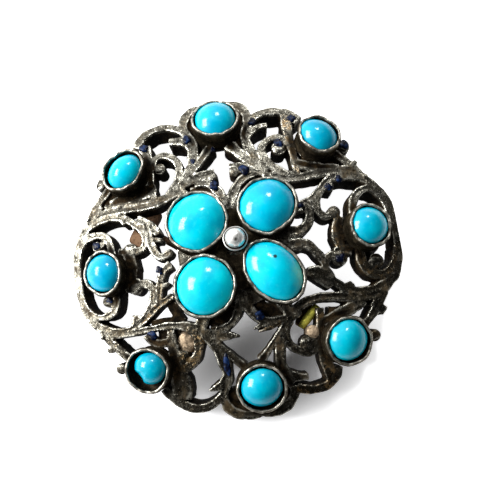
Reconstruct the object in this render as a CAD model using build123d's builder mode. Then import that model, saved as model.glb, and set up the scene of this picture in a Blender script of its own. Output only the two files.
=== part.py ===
from build123d import *
from collections import namedtuple
from math import cos, radians, sin
import os

os.makedirs("parts", exist_ok=True)

# Domed plate of pierced scrollwork: +Z up through the dome, +Y toward the top stone, +X toward the right one
plate_radius = 20.0       # centre to the outer line of the rim scrolls
crown_height = 6.0        # top of the dome above the resting plane
rim_height = 2.4          # top of the scrolls at plate_radius
crown_thickness = 1.9     # casting at the centre of the dome
foot_radius = 18.6        # the underside comes down to the resting plane here
bead_radius = 0.7         # cast bead outside each diagonal setting
vault_reach = 22.0        # the vault runs on past the rim before the scrolls cut it

# Settings of the ring, soldered to the plate and leaning outward with the dome
ring_collet_width = 5.8   # outside, at the rim
ring_collet_height = 2.4  # rim above the plate, along the setting's own axis
ring_collet_depth = 1.2   # foot below the plate's top
ring_collet_lean = 18.0   # degrees from upright
ring_bearing_height = 0.9 # floor of the well above the plate
ring_stone_height = 2.5   # flat back to crown

# Settings of the raised cluster, one soldered piece riveted on the crown
cluster_collet_width = 8.0
cluster_collet_height = 2.1
cluster_collet_depth = 0.95
cluster_collet_lean = 6.0
cluster_bearing_height = 0.75
cluster_stone_height = 2.6
cluster_web_radius = 5.0  # sheet that joins the four cups
cluster_web_top = 6.65    # above the resting plane
cluster_reach = 5.8       # nominal distance of a cup from the middle

collet_wall = 0.4         # thickness of every cup at its rim
foot_share = 0.88         # width of a cup's foot over its width at the rim
girdle_height = 0.55      # straight side of a stone below its dome
seat_gap = 0.05           # between pieces that rest on each other
stone_gap = 0.06          # between the largest stone and its cup

# Ball-headed rivet that holds the cluster
stud_x = 0.3
stud_y = 0.45
stud_radius = 0.8
stud_hole_radius = 0.9
stud_collar_radius = 1.5
stud_collar_foot = 8.35   # underside of the collar above the resting plane
stud_collar_height = 0.55
stud_ball_radius = 1.2
stud_head_radius = 1.3    # flattened end under the plate
stud_bevel_share = 0.8    # narrow ends of the collar and head over their widest part
stud_head_height = 0.4

# Dark enamel drops on the scrolls
enamel_radius = 0.6
enamel_height = 0.5
enamel_rounding = 0.6     # fillet over radius

# Pin with its hinge block and catch, one plain piece under the dome. Both blocks reach up to the plate.
pin_radius = 0.45
pin_height = 1.0          # axis above the resting plane
hinge_x = -10.6
hinge_y = 5.5
catch_x = 7.2
catch_y = -8.6
hinge_length = 5.2
hinge_width = 2.2
barrel_radius = 0.75
catch_length = 3.0
catch_width = 1.4
catch_plate = 0.5         # thickness of the hook
catch_hook_radius = 0.9

# One quarter of the scrollwork, mirrored to the other three. Points are shares of plate_radius along the
# middle of each scroll, and widths are shares of plate_radius at its start, middle and end, as is the ball.
Scroll = namedtuple("Scroll", "name start second middle fourth end width_in width_mid width_out ball")
scrolls = [
    Scroll("trunk", (.185, .280), (.215, .325), (.245, .375), (.268, .420), (.285, .465), .090, .080, .060, 0),
    Scroll("arch stem", (.260, .470), (.197, .560), (.170, .660), (.172, .760), (.215, .835), .045, .050, .052, 0),
    Scroll("arch", (.215, .835), (.280, .872), (.365, .885), (.455, .858), (.520, .790), .052, .060, .055, 0),
    Scroll("arch leaf", (.170, .700), (.198, .742), (.235, .766), (.275, .778), (.312, .784), .040, .062, .040, 0),
    Scroll("crown lobe", (.065, .985), (.120, .982), (.172, .946), (.200, .890), (.195, .830), .040, .070, .045, 0),
    Scroll("strut", (.265, .465), (.205, .525), (.150, .580), (.098, .640), (.050, .705), .045, .036, .050, 0),
    Scroll("tip leaf", (.265, .462), (.205, .492), (.150, .512), (.095, .520), (.048, .514), .045, .060, .052, 0),
    Scroll("heart", (.005, .290), (.030, .355), (.062, .410), (.108, .448), (.180, .460), .070, .052, .050, 0),
    Scroll("volute", (.350, .415), (.298, .480), (.268, .560), (.277, .635), (.328, .683), .055, .050, .046, 0),
    Scroll("volute end", (.328, .683), (.373, .685), (.404, .660), (.408, .626), (.382, .612), .046, .040, .034, .034),
    Scroll("bar", (.440, .845), (.432, .755), (.440, .655), (.449, .555), (.452, .420), .062, .046, .050, 0),
    Scroll("band", (.290, .430), (.400, .400), (.540, .384), (.680, .395), (.800, .388), .060, .050, .050, 0),
    Scroll("rim", (.800, .388), (.880, .330), (.943, .245), (.982, .135), (.988, .000), .050, .056, .052, 0),
    Scroll("long scroll", (.915, .300), (.825, .352), (.728, .370), (.634, .342), (.565, .272), .046, .046, .046, 0),
    Scroll("scroll end", (.565, .272), (.533, .210), (.532, .155), (.570, .115), (.630, .128), .046, .044, .036, .038),
    Scroll("side hook", (.984, .100), (.945, .205), (.865, .268), (.782, .235), (.752, .095), .048, .046, .056, 0),
    Scroll("side curl", (.795, .245), (.792, .210), (.806, .186), (.825, .178), (.842, .180), .038, .034, .030, .028),
    Scroll("inner hook", (.480, .238), (.498, .160), (.482, .085), (.440, .038), (.385, .045), .042, .040, .044, 0),
    Scroll("hook link", (.310, .150), (.370, .195), (.430, .228), (.490, .238), (.545, .240), .060, .040, .036, 0),
    Scroll("hook spur", (.490, .150), (.472, .149), (.454, .146), (.438, .140), (.424, .130), .032, .032, .020, 0),
    Scroll("side strut", (.665, .125), (.652, .090), (.644, .060), (.640, .030), (.638, -.01), .055, .068, .072, 0),
    Scroll("corner", (.690, .560), (.740, .520), (.785, .472), (.825, .425), (.865, .350), .055, .052, .052, 0),
    Scroll("corner leaf", (.785, .430), (.806, .446), (.826, .458), (.846, .467), (.866, .474), .055, .046, .022, 0),
    Scroll("under leaf", (.450, .500), (.510, .478), (.580, .458), (.650, .438), (.730, .412), .048, .056, .040, 0),
    Scroll("side stem", (.630, .000), (.655, .002), (.680, .003), (.705, .002), (.730, .000), .072, .066, .080, 0),
    Scroll("bead stem", (.640, .630), (.680, .624), (.718, .616), (.755, .607), (.787, .598), .045, .045, .045, .028),
]
side_arcs = 3  # arcs along each edge of a scroll

# Plain discs of the same quarter, under the cluster and under the cups of the ring
Seat = namedtuple("Seat", "x y radius")
seats = [Seat(0, 0, .345), Seat(.002, .812, .122), Seat(.600, .612, .122), Seat(.790, .002, .122)]

# Cups of the ring: direction of the cup's rim from the middle in degrees, its distance as a share of
# plate_radius, its radial and crosswise width as shares of ring_collet_width, the stone's as shares of the
# well, and how far the stone lies outward and counterclockwise, as shares of the room that it has.
Setting = namedtuple("Setting", "angle reach radial across stone_radial stone_across outward aside")
ring_settings = [
    Setting(88.6, .849, 1.00, 1.00, 1.00, 1.00, 0.0, 0.0),
    Setting(46.1, .897, 0.96, 0.95, 0.94, 0.95, 0.3, 0.0),
    Setting(1.3, .833, 0.96, 1.00, 0.95, 0.93, 0.0, 0.0),
    Setting(-48.2, .870, 0.99, 1.00, 0.88, 0.93, -0.8, 0.0),
    Setting(-87.6, .840, 1.03, 1.07, 0.90, 0.96, -0.3, 0.2),
    Setting(-134.2, .894, 0.98, 0.98, 0.80, 0.86, -0.8, 0.3),
    Setting(-179.4, .809, 0.92, 1.00, 0.99, 0.95, 0.0, 0.0),
    Setting(133.9, .845, 0.90, 1.04, 0.87, 0.95, -0.8, 0.0),
]
# The same for the cluster, with distances as shares of cluster_reach and widths of cluster_collet_width
cluster_settings = [
    Setting(136.3, 0.94, 1.01, 1.02, 0.98, 1.00, 0.0, 0.0),
    Setting(43.2, 1.10, 1.03, 0.92, 0.97, 0.98, 0.0, 0.0),
    Setting(-40.3, 0.98, 1.12, 0.90, 0.99, 0.99, 0.0, 0.0),
    Setting(-134.6, 1.02, 1.00, 0.98, 0.97, 0.98, 0.0, 0.0),
]
# Enamel drops: places as shares of plate_radius, size as a share of enamel_radius
Drop = namedtuple("Drop", "x y size")
drops = [
    Drop(-.448, .758, 1.00),
    Drop(-.200, .765, 0.95),
    Drop(-.171, .606, 0.60),
    Drop(-.060, .425, 0.95),
    Drop(.125, .497, 1.20),
    Drop(.225, .822, 0.95),
    Drop(.470, .820, 0.90),
    Drop(.383, .622, 1.00),
    Drop(.698, .352, 0.95),
    Drop(.630, .322, 0.75),
    Drop(-.838, .184, 0.90),
    Drop(-.482, -.062, 0.80),
    Drop(-.560, -.388, 1.00),
    Drop(.095, -.445, 1.00),
    Drop(.628, -.130, 1.25),
    Drop(-.174, -.640, 1.00),
    Drop(-.172, -.710, 1.05),
]


def sphere_height(top, foot, reach, distance):
    """Height of a round vault, top at its middle and foot at reach, at a distance from the middle."""
    rise = top - foot
    ball = (reach**2 + rise**2) / (2 * rise)
    return top - ball + (ball**2 - distance**2) ** 0.5


def plate_top(distance):
    return sphere_height(crown_height, rim_height, plate_radius, distance)


def plate_underside(distance):
    return sphere_height(crown_height - crown_thickness, 0, foot_radius, distance)


def scroll_outline(scroll):
    """Draw one scroll in the current sketch: arcs along both edges, and its end ball."""
    points = (scroll.start, scroll.second, scroll.middle, scroll.fourth, scroll.end)
    middle_line = Spline(*[(x * plate_radius, y * plate_radius) for x, y in points], mode=Mode.PRIVATE)

    def edge_point(along, side):
        if along < 0.5:
            width = scroll.width_in + (scroll.width_mid - scroll.width_in) * along * 2
        else:
            width = scroll.width_mid + (scroll.width_out - scroll.width_mid) * (along * 2 - 1)
        way = middle_line % along
        return middle_line @ along + Vector(-way.Y, way.X) * (side * width * plate_radius / 2)

    def edge_arcs(side):
        for arc in range(side_arcs):
            stops = [(arc + part) / side_arcs for part in (0, 0.5, 1)]
            ThreePointArc(*[edge_point(stop, side) for stop in stops])

    with BuildLine() as outline:
        edge_arcs(1)
        edge_arcs(-1)
        Line(edge_point(0, 1), edge_point(0, -1))
        Line(edge_point(1, 1), edge_point(1, -1))
    make_face(outline.edges())
    if scroll.ball:
        with Locations(middle_line @ 1):
            Circle(scroll.ball * plate_radius)


def setting_plane(setting, nominal_reach, height, lean):
    """Plane of a cup on the plate: its origin at the plate's top, X outward, Z along the leaning cup."""
    angle = radians(setting.angle)
    outward = Vector(cos(angle), sin(angle), 0)
    axis = outward * sin(radians(lean)) + Vector(0, 0, cos(radians(lean)))
    distance = setting.reach * nominal_reach - height * sin(radians(lean))
    crosswise = Vector(-sin(angle), cos(angle), 0)
    return Plane(outward * distance + Vector(0, 0, plate_top(distance)), x_dir=crosswise.cross(axis), z_dir=axis)


def well_size(setting, width):
    """Half lengths of a cup's well, outward and crosswise."""
    return (setting.radial * width / 2 - collet_wall, setting.across * width / 2 - collet_wall)


def cup(plane, setting, width, height, depth):
    """Tapered oval cup, still solid, in the current part."""
    halves = (setting.radial * width / 2, setting.across * width / 2)
    with BuildSketch(plane.offset(-depth)) as foot:
        Ellipse(halves[0] * foot_share, halves[1] * foot_share)
    with BuildSketch(plane.offset(height)) as rim:
        Ellipse(*halves)
    loft([foot.sketch, rim.sketch])


def cut_well(plane, setting, width, bearing, height):
    """Take the stone's well out of a cup."""
    with BuildSketch(plane.offset(bearing)) as well:
        Ellipse(*well_size(setting, width))
    extrude(well.sketch, amount=2 * height, mode=Mode.SUBTRACT)


def cabochon(plane, setting, width, bearing, height):
    """Domed stone lying in its cup, a little to one side where it is smaller than the well."""
    room = [half - stone_gap for half in well_size(setting, width)]
    halves = (room[0] * setting.stone_radial, room[1] * setting.stone_across)
    slide = ((room[0] - halves[0]) * setting.outward, (room[1] - halves[1]) * setting.aside)
    with BuildPart() as gem:
        Sphere(1)
        scale(by=(*halves, height - girdle_height))
        split(bisect_by=Plane.XY)
        with BuildSketch():
            Ellipse(*halves)
        extrude(amount=-girdle_height)
    with BuildPart() as stone:
        add(gem.part.moved(plane.location * Location((*slide, bearing + seat_gap + girdle_height))))
    return stone


ring_planes = [
    setting_plane(setting, plate_radius, ring_collet_height, ring_collet_lean) for setting in ring_settings
]
cluster_planes = [
    setting_plane(setting, cluster_reach, cluster_collet_height, cluster_collet_lean)
    for setting in cluster_settings
]

# Vault that shapes the plate: round above, round below down to its foot
with BuildPart() as vault:
    with BuildSketch(Plane.XZ):
        with BuildLine():
            ThreePointArc(*[(x, plate_top(x)) for x in (0, vault_reach / 2, vault_reach)])
            Line((vault_reach, plate_top(vault_reach)), (vault_reach, plate_underside(vault_reach)))
            ThreePointArc(*[(x, plate_underside(x)) for x in (vault_reach, vault_reach / 2, 0)])
            Line((0, plate_underside(0)), (0, plate_top(0)))
        make_face()
    revolve(axis=Axis.Z)
    with BuildSketch():
        Circle(2 * vault_reach)
    extrude(amount=-crown_height, mode=Mode.SUBTRACT)

# Pierced plate with its soldered cups
with BuildPart() as openwork_base:
    with BuildSketch():
        for scroll in scrolls:
            scroll_outline(scroll)
        for seat in seats:
            with Locations((seat.x * plate_radius, seat.y * plate_radius)):
                Circle(seat.radius * plate_radius)
        mirror(about=Plane.YZ)
        mirror(about=Plane.XZ)
    extrude(amount=crown_height)
    add(vault.part, mode=Mode.INTERSECT)
    bead = scrolls[-1].end
    for side_x in (1, -1):
        for side_y in (1, -1):
            place = Vector(bead[0] * side_x, bead[1] * side_y) * plate_radius
            with Locations((place.X, place.Y, plate_top(place.length))):
                Sphere(bead_radius)
    for setting, plane in zip(ring_settings, ring_planes):
        cup(plane, setting, ring_collet_width, ring_collet_height, ring_collet_depth)
    for setting, plane in zip(ring_settings, ring_planes):
        cut_well(plane, setting, ring_collet_width, ring_bearing_height, ring_collet_height)
    with Locations((stud_x, stud_y, crown_height)):
        Hole(stud_hole_radius)
openwork_base.part.label = "openwork_base"
export_step(openwork_base.part, "parts/openwork_base.step")

# Four large cups joined by a web, following the dome below
with BuildPart() as centre_cluster:
    with BuildSketch():
        Circle(cluster_web_radius)
    extrude(amount=cluster_web_top)
    for setting, plane in zip(cluster_settings, cluster_planes):
        cup(plane, setting, cluster_collet_width, cluster_collet_height, cluster_collet_depth)
    for setting, plane in zip(cluster_settings, cluster_planes):
        cut_well(plane, setting, cluster_collet_width, cluster_bearing_height, cluster_collet_height)
    with BuildSketch(Plane.XZ):
        with BuildLine():
            ThreePointArc(*[(x, plate_top(x) + seat_gap) for x in (0, vault_reach / 2, vault_reach)])
            Polyline(
                (vault_reach, plate_top(vault_reach) + seat_gap), (vault_reach, 0), (0, 0), (0, plate_top(0) + seat_gap)
            )
        make_face()
    revolve(axis=Axis.Z, mode=Mode.SUBTRACT)
    with Locations((stud_x, stud_y, cluster_web_top)):
        Hole(stud_hole_radius)
centre_cluster.part.label = "centre_cluster"
export_step(centre_cluster.part, "parts/centre_cluster.step")

# Rivet: shaft, collar, ball and flattened end in one turned piece
stud_distance = (stud_x**2 + stud_y**2) ** 0.5
stud_end = plate_underside(stud_distance + stud_head_radius) - seat_gap
collar_top = stud_collar_foot + stud_collar_height
with BuildPart() as centre_stud:
    with BuildSketch(Plane.XZ.offset(-stud_y)):
        with BuildLine():
            Polyline(
                (stud_x, collar_top),
                (stud_x, stud_end - stud_head_height),
                (stud_x + stud_head_radius * stud_bevel_share, stud_end - stud_head_height),
                (stud_x + stud_head_radius, stud_end),
                (stud_x + stud_radius, stud_end),
                (stud_x + stud_radius, stud_collar_foot),
                (stud_x + stud_collar_radius * stud_bevel_share, stud_collar_foot),
                (stud_x + stud_collar_radius, stud_collar_foot + stud_collar_height / 2),
                (stud_x + stud_collar_radius, collar_top),
                close=True,
            )
        make_face()
    revolve(axis=Axis((stud_x, stud_y, 0), (0, 0, 1)))
    with Locations((stud_x, stud_y, collar_top)):
        Sphere(stud_ball_radius)
centre_stud.part.label = "centre_stud"
export_step(centre_stud.part, "parts/centre_stud.step")

# Cabochon stones
for number, (setting, plane) in enumerate(zip(ring_settings, ring_planes), start=1):
    stone = cabochon(plane, setting, ring_collet_width, ring_bearing_height, ring_stone_height)
    stone.part.label = f"ring_stone_{number}"
    export_step(stone.part, f"parts/ring_stone_{number}.step")
for number, (setting, plane) in enumerate(zip(cluster_settings, cluster_planes), start=1):
    stone = cabochon(plane, setting, cluster_collet_width, cluster_bearing_height, cluster_stone_height)
    stone.part.label = f"centre_stone_{number}"
    export_step(stone.part, f"parts/centre_stone_{number}.step")

# Enamel drops, each a low button on the plate
with BuildPart() as enamel_drops:
    for drop in drops:
        place = Vector(drop.x, drop.y) * plate_radius
        radius = enamel_radius * drop.size
        with BuildSketch(Plane((place.X, place.Y, plate_top(place.length - radius) + seat_gap))):
            Circle(radius)
        button = extrude(amount=enamel_height * drop.size)
        fillet(button.edges().group_by(Axis.Z)[-1], radius * enamel_rounding)
enamel_drops.part.label = "enamel_drops"
export_step(enamel_drops.part, "parts/enamel_drops.step")

# Pin with hinge block and catch: all one piece, close under the plate and clear of the resting plane
pin_line = Vector(catch_x - hinge_x, catch_y - hinge_y)
pin_plane = Plane((hinge_x, hinge_y, pin_height), x_dir=pin_line, z_dir=(0, 0, 1))
pin_across = Plane((hinge_x, hinge_y, pin_height), x_dir=(0, 0, 1), z_dir=pin_line)
with BuildPart() as pin_clasp:
    with BuildSketch(pin_across):
        Circle(pin_radius)
    extrude(amount=pin_line.length)
    with BuildSketch(pin_plane):
        Rectangle(hinge_width, hinge_length)
        with Locations((pin_line.length, 0)):
            Rectangle(catch_width, catch_length)
    extrude(amount=crown_height)
    with BuildSketch(Plane.XZ):
        with BuildLine():
            ThreePointArc(*[(x, plate_underside(x) - seat_gap) for x in (0, vault_reach / 2, vault_reach)])
            Polyline(
                (vault_reach, plate_underside(vault_reach) - seat_gap),
                (vault_reach, 2 * crown_height),
                (0, 2 * crown_height),
                (0, plate_underside(0) - seat_gap),
            )
        make_face()
    revolve(axis=Axis.Z, mode=Mode.SUBTRACT)
    with BuildSketch(Plane(pin_plane.origin, x_dir=(0, 0, 1), z_dir=pin_plane.y_dir)):
        Circle(barrel_radius)
    extrude(amount=hinge_width / 2, both=True)
    with BuildSketch(pin_across.offset(pin_line.length)):
        Circle(catch_hook_radius)
    extrude(amount=-catch_plate)
pin_clasp.part.label = "pin_clasp"
export_step(pin_clasp.part, "parts/pin_clasp.step")

whole = Compound([openwork_base.part, centre_cluster.part, centre_stud.part, pin_clasp.part])
size = whole.bounding_box().size
print(f"brooch {size.X:.2f} x {size.Y:.2f} x {size.Z:.2f} mm, hollow {plate_underside(0):.2f} mm deep")
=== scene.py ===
import bpy
import bmesh
import math
import numpy as np
from collections import namedtuple
from mathutils import Matrix, Vector


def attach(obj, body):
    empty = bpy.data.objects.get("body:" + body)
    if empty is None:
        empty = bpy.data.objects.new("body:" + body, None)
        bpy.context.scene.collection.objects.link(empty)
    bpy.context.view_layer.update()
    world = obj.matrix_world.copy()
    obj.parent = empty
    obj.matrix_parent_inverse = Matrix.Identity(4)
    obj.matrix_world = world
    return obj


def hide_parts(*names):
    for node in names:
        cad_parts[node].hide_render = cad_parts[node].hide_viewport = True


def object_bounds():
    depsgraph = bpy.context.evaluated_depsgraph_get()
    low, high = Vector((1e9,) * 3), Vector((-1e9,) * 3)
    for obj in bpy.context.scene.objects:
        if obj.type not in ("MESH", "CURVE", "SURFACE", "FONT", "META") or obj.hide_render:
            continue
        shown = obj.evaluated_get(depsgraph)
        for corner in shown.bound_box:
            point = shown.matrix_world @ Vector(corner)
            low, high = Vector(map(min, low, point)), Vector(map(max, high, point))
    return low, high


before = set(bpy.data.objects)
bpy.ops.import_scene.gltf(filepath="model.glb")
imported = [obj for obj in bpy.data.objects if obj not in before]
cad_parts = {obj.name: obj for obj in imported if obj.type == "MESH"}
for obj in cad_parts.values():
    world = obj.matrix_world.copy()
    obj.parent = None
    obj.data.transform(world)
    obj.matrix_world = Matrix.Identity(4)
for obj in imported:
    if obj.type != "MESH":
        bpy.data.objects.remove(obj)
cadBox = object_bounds()
mm = 0.001
print("frame loaded")


# Shapes worked out with numpy

def curveThrough(knots, count):
    # Natural cubic spline: one linear system over the chord lengths gives the bend at each knot, and each of
    # the evenly spaced stops mixes the two knots around it with their bends.
    chord = np.linalg.norm(np.diff(knots, axis=0), axis=1)
    at = np.concatenate([[0], np.cumsum(chord)])
    system = np.eye(len(knots))
    right = np.zeros_like(knots)
    inner = np.arange(1, len(knots) - 1)
    system[inner, inner - 1] = chord[:-1]
    system[inner, inner] = 2 * (chord[:-1] + chord[1:])
    system[inner, inner + 1] = chord[1:]
    slope = np.diff(knots, axis=0) / chord[:, None]
    right[inner] = 6 * np.diff(slope, axis=0)
    bend = np.linalg.solve(system, right)
    stops = np.linspace(0, at[-1], count)
    k = np.clip(np.searchsorted(at, stops, side="right") - 1, 0, len(chord) - 1)
    h = chord[k][:, None]
    a = (at[k + 1] - stops)[:, None] / h
    b = 1 - a
    return a * knots[k] + b * knots[k + 1] + ((a**3 - a) * bend[k] + (b**3 - b) * bend[k + 1]) * h * h / 6


def unit(vectors):
    return vectors / np.maximum(np.linalg.norm(vectors, axis=-1, keepdims=True), 1e-12)


def unevenness(points, size, seed, waves=28):
    # Smooth random field, about -1 to 1: a sum of plane sine waves of seeded directions and phases, with
    # lengths near size.
    rng = np.random.default_rng(seed)
    heading = unit(rng.normal(size=(waves, points.shape[-1])))
    pace = 2 * math.pi / (size * rng.uniform(0.7, 1.6, waves))
    phase = rng.uniform(0, 2 * math.pi, waves)
    return np.sin(points @ (heading * pace[:, None]).T + phase).sum(-1) / math.sqrt(waves) * 0.8


def ring(count):
    # Angles round a circle, with their cosines and sines.
    turn = np.linspace(0, 2 * math.pi, count, endpoint=False)
    return turn, np.cos(turn), np.sin(turn)


def angleOff(turn, way):
    # How far each angle is from one way, from 0 to pi.
    return np.abs((turn - way + math.pi) % (2 * math.pi) - math.pi)


def fromAxis(points):
    return np.hypot(points[..., 0], points[..., 1])


def grid(points, closed=True):
    # Quads over an array of points [along, around, xyz], where each row of points closes on itself.
    rows, count = points.shape[:2]
    u = np.arange(rows - 1)[:, None]
    v = np.arange(count if closed else count - 1)[None, :]
    w = (v + 1) % count
    quads = np.stack([u * count + v, (u + 1) * count + v, (u + 1) * count + w, u * count + w], -1)
    return points.reshape(-1, 3), quads.reshape(-1, 4)


def capped(points):
    # Tube of closed sections [section, around, xyz] with a fan to the middle of each end section.
    first, last = points[:1].mean(1, keepdims=True), points[-1:].mean(1, keepdims=True)
    around = points.shape[1]
    return grid(np.concatenate([np.repeat(first, around, 1), points, np.repeat(last, around, 1)]))


def buildMesh(name, shells, weld=1e-7):
    # One mesh from several shells: arrays go in whole, doubles at poles are merged, normals turned outward.
    offsets = np.cumsum([0] + [len(points) for points, quads in shells[:-1]])
    points = np.concatenate([points for points, quads in shells]).astype(np.float32)
    quads = np.concatenate([quads + start for (_, quads), start in zip(shells, offsets)]).astype(np.int32)
    mesh = bpy.data.meshes.new(name)
    mesh.vertices.add(len(points))
    mesh.vertices.foreach_set("co", points.ravel())
    mesh.loops.add(quads.size)
    mesh.loops.foreach_set("vertex_index", quads.ravel())
    mesh.polygons.add(len(quads))
    mesh.polygons.foreach_set("loop_start", np.arange(0, quads.size, 4, dtype=np.int32))
    mesh.update(calc_edges=True)
    work = bmesh.new()
    work.from_mesh(mesh)
    bmesh.ops.remove_doubles(work, verts=work.verts, dist=weld)
    bmesh.ops.dissolve_degenerate(work, edges=work.edges, dist=weld / 10)
    bmesh.ops.recalc_face_normals(work, faces=work.faces)
    work.to_mesh(mesh)
    work.free()
    mesh.validate()
    mesh.polygons.foreach_set("use_smooth", np.ones(len(mesh.polygons), bool))
    return mesh


def newObject(name, data):
    item = bpy.data.objects.new(name, data)
    bpy.context.scene.collection.objects.link(item)
    return item


def addPiece(name, mesh, material, node):
    # A finished piece: its place is in its mesh, and it rides on the one body.
    piece = newObject(name, mesh)
    mesh.materials.clear()
    mesh.materials.append(material)
    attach(piece, "root")
    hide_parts(node)


def meshArrays(mesh):
    # Places and normals of a mesh's vertices, and its edges.
    points = np.empty(len(mesh.vertices) * 3, np.float32)
    mesh.vertices.foreach_get("co", points)
    normals = np.empty(len(mesh.vertices) * 3, np.float32)
    mesh.vertices.foreach_get("normal", normals)
    edges = np.empty(len(mesh.edges) * 2, np.int32)
    mesh.edges.foreach_get("vertices", edges)
    return points.reshape(-1, 3).astype(float), normals.reshape(-1, 3).astype(float), edges.reshape(-1, 2)


def spread(values, edges, rounds):
    # Mean of each vertex and its neighbours, several times over.
    count = len(values)
    share = np.bincount(edges.ravel(), minlength=count) + 1.0
    for _ in range(rounds):
        total = values + np.bincount(edges[:, 0], values[edges[:, 1]], count)
        total += np.bincount(edges[:, 1], values[edges[:, 0]], count)
        values = total / share
    return values


def setAttribute(mesh, name, values, kind="FLOAT", field="value"):
    attribute = mesh.attributes.new(name, kind, "POINT")
    attribute.data.foreach_set(field, values.astype(np.float32).ravel())


def addWear(mesh, extra=0.0, reach=0.25 * mm, rounds=2):
    # Attribute edge: how far each vertex stands proud of its neighbours, -1 in a crease and 1 on a ridge.
    points, normals, edges = meshArrays(mesh)
    way = points[edges[:, 1]] - points[edges[:, 0]]
    length = np.maximum(np.linalg.norm(way, axis=1), 1e-9)
    count = len(points)
    lean = np.bincount(edges[:, 0], -(way * normals[edges[:, 0]]).sum(1) / length**2, count)
    lean += np.bincount(edges[:, 1], (way * normals[edges[:, 1]]).sum(1) / length**2, count)
    lean /= np.maximum(np.bincount(edges.ravel(), minlength=count), 1)
    setAttribute(mesh, "edge", np.clip(spread(lean, edges, rounds) * reach + extra, -1, 1))


def addTone(mesh, green, blue):
    # Attribute tone: what the stone's green and blue are multiplied by.
    setAttribute(mesh, "tone", np.tile([1, green, blue, 1], (len(mesh.vertices), 1)), "FLOAT_COLOR", "color")


def addDepth(mesh, depthOf):
    # Attribute deep: millimetres below the piece's own top, with any grime and painted shade added.
    points, _, _ = meshArrays(mesh)
    setAttribute(mesh, "deep", depthOf(points) / mm)


# Domed plate

plate = dict(
    radius=20.0 * mm,
    crownTop=6.0 * mm,
    rimTop=2.4 * mm,
    crownThickness=1.9 * mm,
    footRadius=18.6 * mm,
    stopSpacing=0.22 * mm,  # along a scroll's middle line
    grooveDepth=0.17 * mm,
    grooveWidth=0.34,      # this and the next four as shares of a scroll's half width
    borderStart=0.95,
    borderWidth=0.3,
    lipPlace=0.84,
    lipWidth=0.13,
    borderDepth=0.12 * mm,
    webDrop=0.40 * mm,
    crownRise=0.06 * mm,
    ballRise=0.18 * mm,
    wallDraft=0.06,        # foot of a scroll's wall wider than its top, as a share
    sideUnevenness=0.035 * mm,
    sideUnevenSize=2.2 * mm,
    widthUnevenness=0.10,
    widthUnevenSize=1.6 * mm,
    voxel=0.09 * mm,
    triangles=180000,
    topUnevenness=0.018 * mm,
    topUnevenSize=0.7 * mm,
    topSeed=77,
    scrollSeed=4,
    lipWear=0.38,          # how much brighter the lips of the scrolls are rubbed
    grooveGrime=0.22 * mm,
    borderGrime=0.20 * mm,
)


def ballRadius(rise, reach):
    # Radius of the ball that a round vault of this rise and reach is cut from.
    return (reach**2 + rise**2) / (2 * rise)


def vaultHeight(top, foot, reach, distance):
    # Height of a round vault that has its top in the middle and its foot at reach.
    ball = ballRadius(top - foot, reach)
    return top - ball + np.sqrt(np.maximum(ball**2 - distance**2, 0))


def plateTop(distance):
    return vaultHeight(plate["crownTop"], plate["rimTop"], plate["radius"], distance)


def plateUnderside(distance):
    crown = plate["crownTop"] - plate["crownThickness"]
    return np.maximum(vaultHeight(crown, 0, plate["footRadius"], distance), 0)


def onDome(plan):
    # Point of the dome's top above each plan point, and the outward normal there.
    ball = ballRadius(plate["crownTop"] - plate["rimTop"], plate["radius"])
    point = np.concatenate([plan, plateTop(fromAxis(plan))[..., None]], -1)
    return point, (point - np.array([0, 0, plate["crownTop"] - ball])) / ball


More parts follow.
